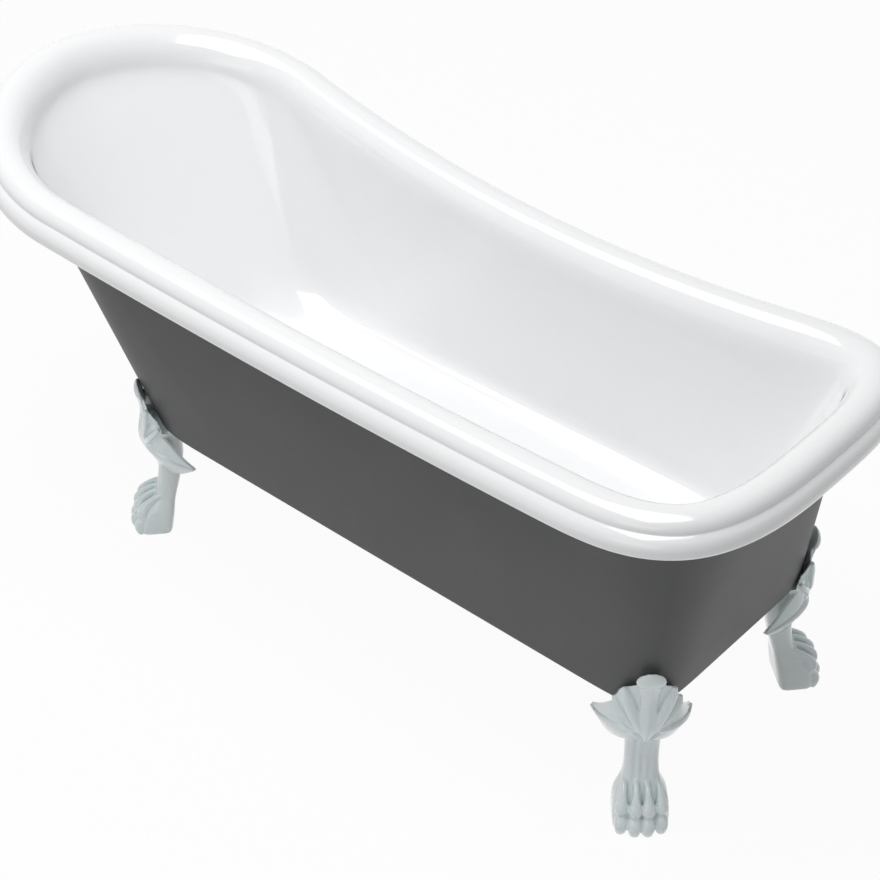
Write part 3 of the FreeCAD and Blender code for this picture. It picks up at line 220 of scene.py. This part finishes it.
def spline_weights(count, steps):
    """Weights of a clamped uniform cubic B-spline over count points, at evenly spaced steps.

    By the usual recurrence, each degree blends two neighbours of the degree below.
    The last step stops a hair before the last knot, so that it still lies in a span.
    """
    knots = np.concatenate((np.zeros(3), np.arange(count - 2), np.full(3, count - 3))).astype(float)
    t = np.linspace(0.0, count - 3 - 1e-9, steps)[:, None]
    weights = ((knots[:-1] <= t) & (t < knots[1:])).astype(float)
    for degree in (1, 2, 3):
        kept = len(knots) - 1 - degree
        start, end = knots[:kept], knots[degree:degree + kept]
        later_start, later_end = knots[1:1 + kept], knots[degree + 1:degree + 1 + kept]
        rise = (t - start) / np.where(end > start, end - start, np.inf)
        fall = (later_end - t) / np.where(later_end > later_start, later_end - later_start, np.inf)
        weights = rise * weights[:, :kept] + fall * weights[:, 1:kept + 1]
    return weights


def splined(rows, fineness):
    """A stack of rows made smooth: a B-spline across them, with fineness steps for each row."""
    rows = np.array(rows)
    return np.einsum("sr,rnc->snc", spline_weights(len(rows), fineness * len(rows)), rows)


def outline(station, low_end, head_end, low_round, head_round, low_fullness, head_fullness, half_width):
    """Half of a plan outline at stations 0..1..2..3: low end curve, straight side, head end curve.

    Both end curves are superellipses: a coordinate is cosine or sine to the power 2/fullness.
    """
    low_angle = np.pi / 2 * np.clip(station, 0, 1)
    head_angle = np.pi / 2 * np.clip(station - 2, 0, 1)
    along = np.where(station <= 1, np.abs(np.cos(low_angle)) ** (2 / low_fullness), 0.0)
    back = np.where(station >= 2, np.sin(head_angle) ** (2 / head_fullness), 0.0)
    across = np.where(station < 1, np.sin(low_angle) ** (2 / low_fullness),
                      np.where(station > 2, np.abs(np.cos(head_angle)) ** (2 / head_fullness), 1.0))
    low_centre, head_centre = low_end - low_round, head_end + head_round
    x = low_centre + (head_centre - low_centre) * np.clip(station - 1, 0, 1)
    x = x + low_round * along - head_round * back
    return np.stack((x, across * half_width(x)), axis=-1)


def rim_half_width(x):
    """Half width of the rim at X: a parabola that widens towards both ends."""
    share = x / bath_half
    return rim_middle_half - rim_lean * share + rim_flare * share ** 2


def rim_outline(station):
    """Half of the rim's edge in plan, squarer at the low end and rounder at the head."""
    return outline(station, bath_half, -bath_half, low_round=0.301, head_round=0.369,
                   low_fullness=3.0, head_fullness=1.8, half_width=rim_half_width)


def floor_outline(station, inwards):
    """Half of the floor's edge in plan, where the wall would meet it, moved inwards."""
    turn = corner_round - inwards
    return outline(station, floor_low_end - inwards, floor_head_end + inwards, turn, turn,
                   floor_fullness, floor_fullness, lambda x: floor_half_width - inwards)


def even_stations(count, chords=6000):
    """Stations that cut half of the rim's length into equal steps, by its summed chords."""
    fine = np.linspace(0.0, 3.0, chords + 1)
    steps = np.linalg.norm(np.diff(rim_outline(fine), axis=0), axis=1)
    run = np.concatenate(([0.0], np.cumsum(steps)))
    return np.interp(np.linspace(0.0, run[-1], count), run, fine)


stations = even_stations(loop_points // 2 + 1)


def whole(half):
    """The half outline and its mirror image as one loop, counter-clockwise from above."""
    return np.concatenate((half, half[-2:0:-1] * (1.0, -1.0)))


def inset(loop, distance):
    """A plan loop moved inwards along its own normals, from the chord of each two neighbours."""
    run = np.roll(loop, -1, axis=0) - np.roll(loop, 1, axis=0)
    run /= np.linalg.norm(run, axis=1)[:, None]
    return loop + distance * np.stack((-run[:, 1], run[:, 0]), axis=1)


def lip_level(x):
    """Height of the rim's lip at X: a parabola, lowest towards the low end."""
    return rim_height + rim_sweep * ((x - rim_low_station) / bath_half) ** 2


rim_loop = whole(rim_outline(stations))


def level_row(loop, z):
    """A plan loop laid at one height."""
    return np.column_stack((loop, np.full(len(loop), z)))


def rim_row(inwards, up):
    """The rim moved inwards, and lifted above its lip level."""
    loop = inset(rim_loop, inwards)
    return np.column_stack((loop, lip_level(loop[:, 0]) + up))


def surface_normals(grid):
    """Unit normals of a grid whose rows close on themselves: step around crossed with step across."""
    around = np.roll(grid, -1, axis=1) - np.roll(grid, 1, axis=1)
    normal = np.cross(around, np.gradient(grid, axis=0))
    return normal / np.linalg.norm(normal, axis=2)[:, :, None]


def closed_piece(name, grid, finish, ring=False):
    """Closed mesh over a grid of closed rows; the end rows join each other or run to a centre point.

    Its faces are turned about where its volume, summed as tetrahedra from the middle, is negative.
    """
    rows, turns = grid.shape[:2]
    points = grid.reshape(-1, 3)
    index = np.arange(rows * turns).reshape(rows, turns)
    if ring:
        index = np.vstack((index, index[:1]))
    near, far = index[:-1], index[1:]
    faces = np.stack((near, np.roll(near, -1, axis=1), np.roll(far, -1, axis=1), far), axis=-1)
    faces = faces.reshape(-1, 4).tolist()
    if not ring:
        points = np.vstack((points, grid[0].mean(axis=0), grid[-1].mean(axis=0)))
        first, last = np.full(turns, rows * turns), np.full(turns, rows * turns + 1)
        faces += np.stack((first, np.roll(index[0], -1), index[0]), axis=-1).tolist()
        faces += np.stack((last, index[-1], np.roll(index[-1], -1)), axis=-1).tolist()
    threes = np.array([face[:3] for face in faces])
    a, b, c = (points[threes[:, k]] for k in range(3))
    middle = points.mean(axis=0)
    if np.einsum("ij,ij->", a - middle, np.cross(b - middle, c - middle)) < 0:
        faces = [face[::-1] for face in faces]
    mesh = bpy.data.meshes.new(name)
    mesh.from_pydata(points.tolist(), [], faces)
    mesh.shade_smooth()
    mesh.set_sharp_from_angle(angle=crease_angle)
    mesh.materials.append(finish.material)
    return placed(name, mesh)


def applied(piece):
    """Gives a piece the mesh that its modifiers make, and takes them off."""
    graph = bpy.context.evaluated_depsgraph_get()
    mesh = bpy.data.meshes.new_from_object(piece.evaluated_get(graph))
    piece.modifiers.clear()
    piece.data = mesh


def turned_grid(profile, centre, axis, turns):
    """Profile of (radius, height) pairs carried round an axis, heights counted from a centre."""
    axis = np.array(axis, float) / np.linalg.norm(axis)
    side = np.cross(axis, (0.0, 1.0, 0.0))
    side = side / np.linalg.norm(side)
    other = np.cross(axis, side)
    angle = np.linspace(0.0, 2 * np.pi, turns, endpoint=False)
    radius, height = np.array(profile, float).T[:, :, None, None]
    spoke = np.cos(angle)[:, None] * side + np.sin(angle)[:, None] * other
    return np.array(centre) + radius * spoke + height * axis


def drill(finish, profile, centre, axis=(0.0, 0.0, 1.0), turns=96):
    """Closed turned piece to bore with."""
    return closed_piece("drill", turned_grid(profile, centre, axis, turns), finish)


def bored(piece, *drills):
    """Cuts drills out of a piece, and removes them."""
    for cutter in drills:
        cut = piece.modifiers.new("bore", "BOOLEAN")
        cut.operation = "DIFFERENCE"
        cut.solver = "EXACT"
        cut.object = cutter
    applied(piece)
    for cutter in drills:
        bpy.data.objects.remove(cutter)


acrylic = Finish("acrylic_gloss_white")
acrylic.set(Base_Color=(0.92, 0.925, 0.93, 1.0), Coat_Weight=1.0, Coat_Roughness=0.03, IOR=1.49)
acrylic.roughness(acrylic.noise(9.0, 3.0), 0.10, 0.16)
acrylic.bump(acrylic.noise(18.0, 1.0), 0.00003)

# The rim's section as (inwards from its edge, up from its lip level), from the top of the wall
# over the roll, down into the crease, out over the bead, and in again under it.
rim_sections = (
    (rim_width, 0.000), (0.0887, 0.0157), (0.0834, 0.0331), (0.0743, 0.0470), (0.0621, 0.0561),
    (0.0484, 0.0588), (0.0355, 0.0578), (0.0255, 0.0530), (0.0190, 0.0462), (0.0163, 0.0405),
    (0.0157, 0.0368), (0.0158, 0.0350), (0.0152, 0.0340), (0.0130, 0.0326), (0.0094, 0.0298),
    (0.0060, 0.0264), (0.0034, 0.0224), (0.0016, 0.0184), (0.0006, 0.0150), (0.0004, 0.0100),
    (0.0006, 0.0050), (0.0024, 0.0006), (0.0062, -0.0024), (0.0130, -0.0030), (0.0330, -0.0030),
    (0.0620, -0.0030), (0.0777, -0.0030),
)
# The cove between floor and wall as (inwards, up) in shares of its size.
cove_sections = ((1.0, 0.0), (0.48, 0.0), (0.12, 0.14))
wall_shares = (0.12, 0.26, 0.42, 0.58, 0.74, 0.90)
wall_foot = level_row(whole(floor_outline(stations, 0.0)), basin_floor)
wall_head = rim_row(rim_width, 0.0)
basin_rows = [level_row(whole(floor_outline(stations, inwards * floor_cove)),
                        basin_floor + up * floor_cove)
              for inwards, up in cove_sections]
basin_rows += [wall_foot + (wall_head - wall_foot) * share for share in wall_shares]
basin_rows += [rim_row(inwards, up) for inwards, up in rim_sections]
wet_side = splined(basin_rows, 4)
dry_side = wet_side + surface_normals(wet_side) * basin_sheet
basin = closed_piece("basin", np.concatenate((wet_side, dry_side[::-2])), acrylic)

# The overflow's hole is square to the low end wall, which runs straight from floor to rim.
waste_centre = (0.470, 0.0, basin_floor)
waste_hole = 0.026
overflow_level = 0.480
overflow_hole = 0.024
drill_reach = 0.020
wall_run = bath_half - rim_width - floor_low_end
wall_rise = lip_level(bath_half - rim_width) - basin_floor
overflow_share = (overflow_level - basin_floor) / wall_rise
overflow_centre = (floor_low_end + overflow_share * wall_run, 0.0, overflow_level)
bored(basin,
      drill(acrylic, ((waste_hole, -drill_reach), (waste_hole, drill_reach)), waste_centre),
      drill(acrylic, ((overflow_hole, -drill_reach), (overflow_hole, drill_reach)), overflow_centre,
            (-wall_rise, 0.0, wall_run)))
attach(basin, "tub")
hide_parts("basin_shell")


# ---------------------------------------------------------------- skin
# The outer skin is a reinforced resin shell in satin dark grey paint. Its top edge is
# tucked up behind the rim's lip, and its bottom edge turns in as a flange on the feet.

skin_bottom = 0.2325
skin_sheet = 0.0035
skin_flange = 0.060
skin_low_end = 0.714
skin_head_end = -0.415
skin_half_width = 0.2245
skin_tuck = 0.078
skin_tuck_rise = 0.0015


def base_outline(station, inwards):
    """Half of the skin's bottom edge in plan, moved inwards."""
    turn = corner_round - inwards
    return outline(station, skin_low_end - inwards, skin_head_end + inwards, turn, turn,
                   low_fullness=8.0, head_fullness=6.0, half_width=lambda x: skin_half_width - inwards)


paint = Finish("skin_satin_grey")
paint.set(Coat_Weight=0.06, Coat_Roughness=0.30, IOR=1.36)
paint.colours(paint.noise(5.0, 4.0), (0.3, (0.103, 0.104, 0.105)), (0.7, (0.113, 0.114, 0.115)))
paint.roughness(paint.noise(14.0, 3.0), 0.48, 0.58)
paint.bump(paint.noise(420.0, 2.0), 0.00006)

flange_insets = (skin_flange, 0.55 * skin_flange, 0.15 * skin_flange, 0.35 * skin_sheet)
side_shares = (0.004, 0.03, 0.12, 0.26, 0.42, 0.58, 0.74, 0.88, 0.97, 1.0)
skin_foot = level_row(whole(base_outline(stations, 0.0)), skin_bottom)
skin_head = rim_row(skin_tuck, skin_tuck_rise)
skin_rows = [level_row(whole(base_outline(stations, inwards)), skin_bottom) for inwards in flange_insets]
skin_rows += [skin_foot + (skin_head - skin_foot) * share for share in side_shares]
skin_outside = splined(skin_rows, 6)
skin_inside = skin_outside - surface_normals(skin_outside) * skin_sheet
skin = closed_piece("skin", np.concatenate((skin_outside, skin_inside[::-1])), paint, ring=True)
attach(skin, "tub")
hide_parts("outer_skin")


# ---------------------------------------------------------------- timber base
# A plywood board is bonded under the basin, on softwood bearers that lie on the skin's
# flange, and a softwood block over each foot takes the foot bolts.


def timber(name, light, dark, stretch):
    """Planed wood: stretched noise for the grain, finer noise for pores."""
    wood = Finish(name)
    grain = wood.noise(14.0, 5.0, stretch)
    wood.colours(grain, (0.32, dark), (0.62, light))
    wood.roughness(wood.noise(60.0, 2.0, stretch), 0.55, 0.75)
    wood.bump(grain, 0.0003)
    return wood


plywood = timber("plywood", light=(0.60, 0.44, 0.26), dark=(0.46, 0.31, 0.17), stretch=(0.6, 8.0, 8.0))
softwood = timber("softwood", light=(0.56, 0.39, 0.22), dark=(0.42, 0.26, 0.13), stretch=(8.0, 0.6, 8.0))


def dress(finish, *nodes):
    """Gives kept CAD nodes a finish."""
    for node in nodes:
        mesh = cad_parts[node].data
        mesh.materials.clear()
        mesh.materials.append(finish.material)


corners = ("low_near", "low_far", "head_near", "head_far")
dress(plywood, "base_board")
dress(softwood, "bearer_head", "bearer_middle", "bearer_low_near", "bearer_low_far",
      *("corner_block_" + corner for corner in corners))


# ---------------------------------------------------------------- claw feet
# Four equal castings in pale gloss paint: a paw with four toes, a fluted shank, and a
# leaf of petals with a keel, a cap and two side wings, over a shelf for two bolts.
# Each is drawn in millimetres with its toes along X, and joined by a voxel remesh.

millimetre = 0.001
foot_seat = 232.5
leaf_top = 320.0
leaf_back_heights = (foot_seat, 283.0, 312.0, 330.0)
leaf_back_places = (-8.2, -2.1, 7.3, 14.0)
leaf_flat_half = 14.0
leaf_sweep = 0.018
leaf_sweep_top = 290.0
leaf_sweep_fade = 30.0
flute_depth = 3.2
flute_pitch = 11.5
flute_low = 76.0
flute_low_fade = 16.0
flute_high = 196.0
flute_high_fade = 14.0
breast_thick = 22.0
wing_thick = 5.0
wing_slant = 4.0
inner_toe = 10.3
outer_toe = 31.5
outer_toe_back = 6.0
shelf_thick = 12.0
shelf_back = -98.0
shelf_front = -10.0
shelf_half = 40.0
bolt_back = 76.0
bolt_side = 22.0
bolt_bore = 4.5
bolt_drill_reach = 20.0
level_back = 4.0
pad_bore = 15.4
pad_deep = 6.9
pad_drill_reach = 10.0
screw_bore = 5.4
screw_deep = 52.4


def leaf_back(y, z):
    """X of the casting's back above the seat: flats that slant by height, swept back at the sides.

    The sweep is a parabola of the distance past the flat middle, faded out towards the top.
    """
    flat = np.interp(z, leaf_back_heights, leaf_back_places)
    fade = np.clip((leaf_sweep_top - z) / leaf_sweep_fade, 0.0, 1.0)
    return flat - leaf_sweep * np.maximum(np.abs(y) - leaf_flat_half, 0.0) ** 2 * fade


def superellipse(fullness, turns):
    """Cosine and sine round a turn, each to the power 2/fullness with its own sign."""
    angle = np.linspace(0.0, 2 * np.pi, turns, endpoint=False)
    cosine, sine = np.cos(angle), np.sin(angle)
    return (np.sign(cosine) * np.abs(cosine) ** (2 / fullness),
            np.sign(sine) * np.abs(sine) ** (2 / fullness))


def shank_grid(sections, steps=150, turns=96):
    """Superellipse sections of (height, front, back, half width, fullness) through a spline.

    Three flutes sink the front by a raised cosine across the width, faded in and out by height.
    """
    z, front, back, half_width, fullness = (spline_weights(len(sections), steps)
                                            @ np.array(sections, float)).T[:, :, None]
    along, across = superellipse(fullness, turns)
    x = (front + back) / 2 + along * (front - back) / 2
    y = across * half_width
    fade = (np.clip((z - flute_low) / flute_low_fade, 0.0, 1.0)
            * np.clip((flute_high - z) / flute_high_fade, 0.0, 1.0))
    flute = (0.5 + 0.5 * np.cos(2 * np.pi * y / flute_pitch)) * (np.abs(y) < 1.5 * flute_pitch)
    x = x - flute_depth * fade * flute * np.clip(2.0 * along, 0.0, 1.0)
    return np.stack((x, y, z + np.zeros(turns)), axis=-1)


def sheet_grid(net, behind, steps=48):
    """Bicubic B-spline sheet over a net of points; each row runs back along a shifted copy."""
    net = np.array(net, float)
    face = np.einsum("ar,bc,rcd->abd", spline_weights(len(net), steps),
                     spline_weights(net.shape[1], steps), net)
    return np.concatenate((face, (face + behind)[:, ::-1]), axis=1)


def petal_grid(path, half_width, half_thick, fullness, aside=(0.0, 1.0, 0.0), steps=44, turns=36):
    """Superellipse carried on a spline path, square to it; fullness under 2 gives it a keel.

    Its width lies along aside, made square to the path; its thickness is their cross product.
    """
    weights = spline_weights(len(path), steps)
    centre = weights @ np.array(path, float)
    wide = (weights @ np.array(half_width, float))[:, None, None]
    thick = (weights @ np.array(half_thick, float))[:, None, None]
    heading = np.gradient(centre, axis=0)
    heading /= np.linalg.norm(heading, axis=1)[:, None]
    side = np.array(aside, float) - (heading @ np.array(aside, float))[:, None] * heading
    side /= np.linalg.norm(side, axis=1)[:, None]
    other = np.cross(heading, side)
    across, out = (share[None, :, None] for share in superellipse(fullness, turns))
    return centre[:, None] + wide * across * side[:, None] + thick * out * other[:, None]


shank_sections = (
    (0.0, 29.0, -26.0, 42.0, 6.0), (3.0, 31.0, -28.0, 44.0, 6.0), (20.0, 31.0, -31.0, 45.0, 5.5),
    (38.0, 25.0, -34.0, 44.5, 5.0), (52.0, 15.0, -36.0, 42.0, 4.2), (64.0, 6.0, -38.0, 35.0, 3.4),
    (78.0, -3.0, -42.0, 29.0, 3.0), (98.0, -8.0, -48.0, 27.2, 2.8), (124.0, -12.0, -54.0, 27.0, 2.8),
    (150.0, -12.0, -59.0, 28.2, 2.8), (172.0, -7.0, -61.0, 29.6, 2.8), (192.0, 0.0, -59.0, 31.0, 2.8),
    (208.0, 3.0, -56.0, 32.0, 2.8), (220.0, 3.0, -46.0, 33.0, 2.6), (232.0, 1.0, -30.0, 33.0, 2.4),
    (250.0, -1.0, -22.0, 30.0, 2.4), (272.0, 0.0, -14.0, 22.0, 2.2), (288.0, 3.0, -8.0, 13.0, 2.2),
)
# The leaf's breast, from its lower edge up, each row from the middle out to one side.
breast_half = np.array((
    ((4, 0, 173), (3, 7, 176), (2, 14, 181), (0, 20, 187), (-3, 25, 193)),
    ((12, 0, 188), (8, 10, 192), (5, 19, 198), (1, 28, 204), (-6, 36, 208)),
    ((14, 0, 212), (8, 10, 214), (5, 21, 217), (-1, 32, 221), (-13, 44, 224)),
    ((9, 0, 236), (3, 10, 236), (2, 20, 236), (-5, 33, 238), (-19, 49, 240)),
    ((3, 0, 256), (-1, 9, 257), (0, 19, 258), (-4, 31, 258), (-16, 45, 254)),
    ((4, 0, 276), (1, 10, 276), (0, 19, 275), (-3, 30, 274), (-10, 43, 270)),
    ((6, 0, 300), (4, 8, 296), (1, 18, 290), (-2, 30, 283), (-7, 39, 279)),
), float)
breast = np.concatenate((breast_half[:, :0:-1] * (1, -1, 1), breast_half), axis=1)
# A wing, from its root out to its tip, each row from its upper edge down.
wing = np.array((
    ((0, 5, 226), (4, 6, 212), (5, 6, 196), (3, 6, 180), (-1, 6, 168)),
    ((-9, 32, 231), (0, 27, 214), (4, 26, 196), (0, 26, 178), (-8, 28, 163)),
    ((-21, 46, 231), (-12, 45, 214), (-7, 45, 193), (-13, 44, 171), (-23, 42, 155)),
    ((-38, 58, 216), (-29, 60, 203), (-24, 61, 187), (-32, 59, 165), (-43, 56, 147)),
    ((-58, 68, 187), (-52, 70, 182), (-49, 72, 175), (-53, 70, 165), (-59, 67, 156)),
    ((-77, 78, 173), (-77, 78, 172), (-77, 78, 171), (-77, 78, 170), (-76, 78, 169)),
), float)
# A toe's line as (X, height), from the ankle over the knuckles down to the sole.
toe_line = ((-14, 78), (-3, 76), (10, 70), (23, 59), (33, 45), (23, 33), (37.5, 22), (37, 11), (35, 0))
toe_widths = np.array((3, 4.6, 5.4, 6.4, 13.8, 7.6, 11.8, 11.4, 8.5))
toe_depths = np.array((3, 6.5, 8.0, 9.0, 12.8, 7.2, 12.4, 12.0, 8.5))
toe_root = 80.0
toe_spread_fall = 30.0


def toe_grid(middle, set_back, slim):
    """One toe on its line; its distance from the middle grows by a quarter below the root."""
    path = [(x - set_back, middle * (0.80 + 0.20 * min(1.0, (toe_root - z) / toe_spread_fall)), z)
            for x, z in toe_line]
    return petal_grid(path, toe_widths * slim, toe_depths * slim, fullness=2.2)


foot_forms = [shank_grid(shank_sections), sheet_grid(breast, (-breast_thick, 0.0, 0.0))]
for side in (-1.0, 1.0):
    foot_forms.append(sheet_grid(wing * (1, side, 1), (-wing_thick, -wing_slant * side, 0.0)))
    foot_forms.append(toe_grid(side * inner_toe, set_back=0.0, slim=1.0))
    foot_forms.append(toe_grid(side * outer_toe, set_back=outer_toe_back, slim=0.95))
    upper_petal = petal_grid(
        ((6, 5 * side, 186), (8, 13 * side, 208), (5, 22 * side, 230), (1, 29 * side, 248),
         (-1, 34 * side, 264), (-3, 38 * side, 281)),
        (3, 8, 9.5, 10, 10, 4), (4, 6, 6, 6, 7, 4), fullness=1.5)
    side_petal = petal_grid(
        ((4, 14 * side, 194), (0, 29 * side, 212), (-8, 40 * side, 228), (-17, 48 * side, 240),
         (-21, 51 * side, 247)),
        (3, 8, 9, 8, 3), (4, 5, 5, 5, 3), fullness=1.5)
    wing_rib = petal_grid(
        ((4, 14 * side, 194), (1, 32 * side, 195), (-11, 48 * side, 192), (-29, 62 * side, 186),
         (-52, 72 * side, 177), (-77, 79 * side, 171)),
        (2, 5, 6, 6, 4, 1.2), (3, 5, 5, 4.5, 3.4, 1.2), fullness=1.3, aside=(0.0, 0.35 * side, 1.0))
    lower_edge = petal_grid(
        ((5, 0, 174), (4, 13 * side, 181), (0, 25 * side, 192), (-7, 37 * side, 207)),
        (3.5, 4.5, 4.5, 3), (3.5, 4.5, 4.5, 3), fullness=2.0)
    foot_forms += [upper_petal, side_petal, wing_rib, lower_edge]
keel = petal_grid(
    ((4, 0, 170), (9, 0, 186), (12, 0, 208), (8, 0, 232), (3, 0, 256), (4, 0, 274), (6, 0, 294),
     (7, 0, 310), (6, 0, 320)),
    (1.5, 7, 12, 13.5, 13, 15, 22, 22, 5), (2, 6, 7, 6.5, 6.5, 7, 9.5, 10, 4), fullness=1.3)
cap = petal_grid(
    ((1, 0, 284), (6, 0, 293), (9, 0, 304), (9, 0, 314), (5, 0, 321)),
    (12, 22, 24, 19, 5), (5, 8, 9, 8, 4), fullness=2.1)
shelf_low = foot_seat - shelf_thick
shelf_plan = np.array(((shelf_back, -shelf_half), (shelf_front, -shelf_half),
                       (shelf_front, shelf_half), (shelf_back, shelf_half)))
shelf = np.array([level_row(shelf_plan, z) for z in (shelf_low, foot_seat)])
foot_forms += [keel, cap, shelf]

# Above the seat nothing reaches back past the leaf's own back, because the skin stands there.
for grid in foot_forms:
    x, y, z = grid[..., 0], grid[..., 1], grid[..., 2]
    grid[..., 0] = np.where(z > foot_seat, np.maximum(x, leaf_back(y, np.maximum(z, foot_seat))), x)

enamel = Finish("foot_enamel_pale")
enamel.set(Coat_Weight=1.0, Coat_Roughness=0.05, IOR=1.5)
enamel.colours(enamel.noise(16.0, 2.0), (0.3, (0.79, 0.87, 0.875)), (0.7, (0.83, 0.905, 0.91)))
enamel.roughness(enamel.noise(30.0, 2.0), 0.20, 0.28)

pieces = [closed_piece("foot_form", grid * millimetre, enamel) for grid in foot_forms]
with bpy.context.temp_override(active_object=pieces[0], selected_editable_objects=pieces):
    bpy.ops.object.join()
casting = pieces[0]
melt = casting.modifiers.new("melt", "REMESH")
melt.mode = "VOXEL"
melt.voxel_size = 0.0013
soften = casting.modifiers.new("soften", "SMOOTH")
soften.factor = 0.5
soften.iterations = 2
applied(casting)


def mesh_points(mesh):
    """Places of a mesh's vertices, as rows of X, Y and Z."""
    points = np.empty(3 * len(mesh.vertices))
    mesh.vertices.foreach_get("co", points)
    return points.reshape(-1, 3)


def set_points(mesh, points):
    """Moves a mesh's vertices to new places."""
    mesh.vertices.foreach_set("co", points.ravel())
    mesh.update()


# The smoothing rounds the shelf's upper face, so it is pressed flat again behind the leaf.
shelf_gap = 3.0
shelf_round = 4.0
points = mesh_points(casting.data) * 1000.0
behind_leaf = points[:, 0] < leaf_back(points[:, 1], foot_seat) - shelf_gap
on_shelf = behind_leaf & (points[:, 2] > foot_seat) & (points[:, 2] < foot_seat + shelf_round)
points[on_shelf, 2] = foot_seat
points[:, 2] = np.clip(points[:, 2], 0.0, leaf_top)
set_points(casting.data, points * millimetre)

bolt_profile = np.array(((bolt_bore, -bolt_drill_reach), (bolt_bore, bolt_drill_reach))) * millimetre
screw_profile = np.array(((pad_bore, -pad_drill_reach), (pad_bore, pad_deep),
                          (screw_bore, pad_deep), (screw_bore, screw_deep))) * millimetre
bores = [drill(enamel, bolt_profile, np.array((-bolt_back, across, shelf_low)) * millimetre, turns=32)
         for across in (-bolt_side, bolt_side)]
bores.append(drill(enamel, screw_profile, (-level_back * millimetre, 0.0, 0.0), turns=48))
bored(casting, *bores)
casting.data.shade_smooth()

# Each end's feet as (X, distance from the middle, turn of the toes away from X).
foot_turn = math.radians(48.3)
foot_places = {"low": (0.7005, 0.2130, foot_turn), "head": (-0.4060, 0.2205, math.pi - foot_turn)}
points = mesh_points(casting.data)
for corner in corners:
    end, side = corner.split("_")
    station, spread, turn = foot_places[end]
    hand = -1.0 if side == "near" else 1.0
    cosine, sine = math.cos(turn), hand * math.sin(turn)
    spin = np.array(((cosine, sine, 0), (-sine, cosine, 0), (0, 0, 1)))
    mesh = casting.data.copy()
    mesh.name = "claw_" + corner
    set_points(mesh, points @ spin + (station, hand * spread, 0.0))
    foot = placed("claw_" + corner, mesh)
    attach(foot, "tub")
    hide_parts("claw_foot_" + corner)
bpy.data.objects.remove(casting)


# ---------------------------------------------------------------- foot fasteners
# Zinc-plated bolts with washers come up through each foot's shelf and the skin's flange
# into threaded inserts in the block; the levelling screws and pads are plated too.

zinc = Finish("zinc_plate")
zinc.set(Metallic=1.0)
zinc.colours(zinc.noise(120.0, 3.0), (0.3, (0.50, 0.51, 0.53)), (0.7, (0.62, 0.63, 0.64)))
zinc.roughness(zinc.noise(260.0, 2.0), 0.30, 0.45)
dress(zinc, "foot_bolts", "foot_washers", "threaded_inserts",
      *("levelling_foot_" + corner for corner in corners))


# ---------------------------------------------------------------- waste and plug
# A chromed flange is drawn down on a seal by the plastic body under the floor. The domed
# plug stands on its own seal, and its stem runs in the flange's spoked guide.

chrome = Finish("polished_chrome")
chrome.set(Metallic=1.0, Base_Color=(0.80, 0.81, 0.82, 1.0))
chrome.roughness(chrome.noise(60.0, 2.0), 0.04, 0.09)
rubber = Finish("seal_rubber_black")
rubber.set(Roughness=0.72)
rubber.colours(rubber.noise(200.0, 3.0), (0.3, (0.012, 0.012, 0.012)), (0.7, (0.022, 0.022, 0.022)))
moulding = Finish("moulded_plastic_white")
moulding.set(Base_Color=(0.72, 0.72, 0.70, 1.0))
moulding.roughness(moulding.noise(180.0, 3.0), 0.42, 0.55)
dress(chrome, "waste_flange", "plug", "lifting_pin")
dress(rubber, "waste_flange_seal", "waste_body_gasket", "plug_seal")
dress(moulding, "waste_body")


# ---------------------------------------------------------------- overflow
# A chromed faceplate and its turning knob stand on the low end wall inside the basin. Behind
# the wall a plastic body on a gasket carries the knob's spindle, which works the cable.

dress(chrome, "overflow_faceplate", "overflow_knob", "overflow_spindle")
dress(rubber, "overflow_gasket")
dress(moulding, "overflow_body")


# ---------------------------------------------------------------- hose and cable
# A grey hose joins the overflow's spigot to the waste body's branch, and a black cable
# sheath runs beside it to the boss.

sheath = Finish("hose_grey")
sheath.set(Roughness=0.5)
sheath.colours(sheath.noise(70.0, 3.0), (0.3, (0.40, 0.40, 0.41)), (0.7, (0.48, 0.48, 0.49)))
cable = Finish("cable_black")
cable.set(Roughness=0.45)
cable.colours(cable.noise(220.0, 3.0), (0.3, (0.02, 0.02, 0.02)), (0.7, (0.035, 0.035, 0.035)))
dress(sheath, "overflow_hose")
dress(cable, "control_cable")
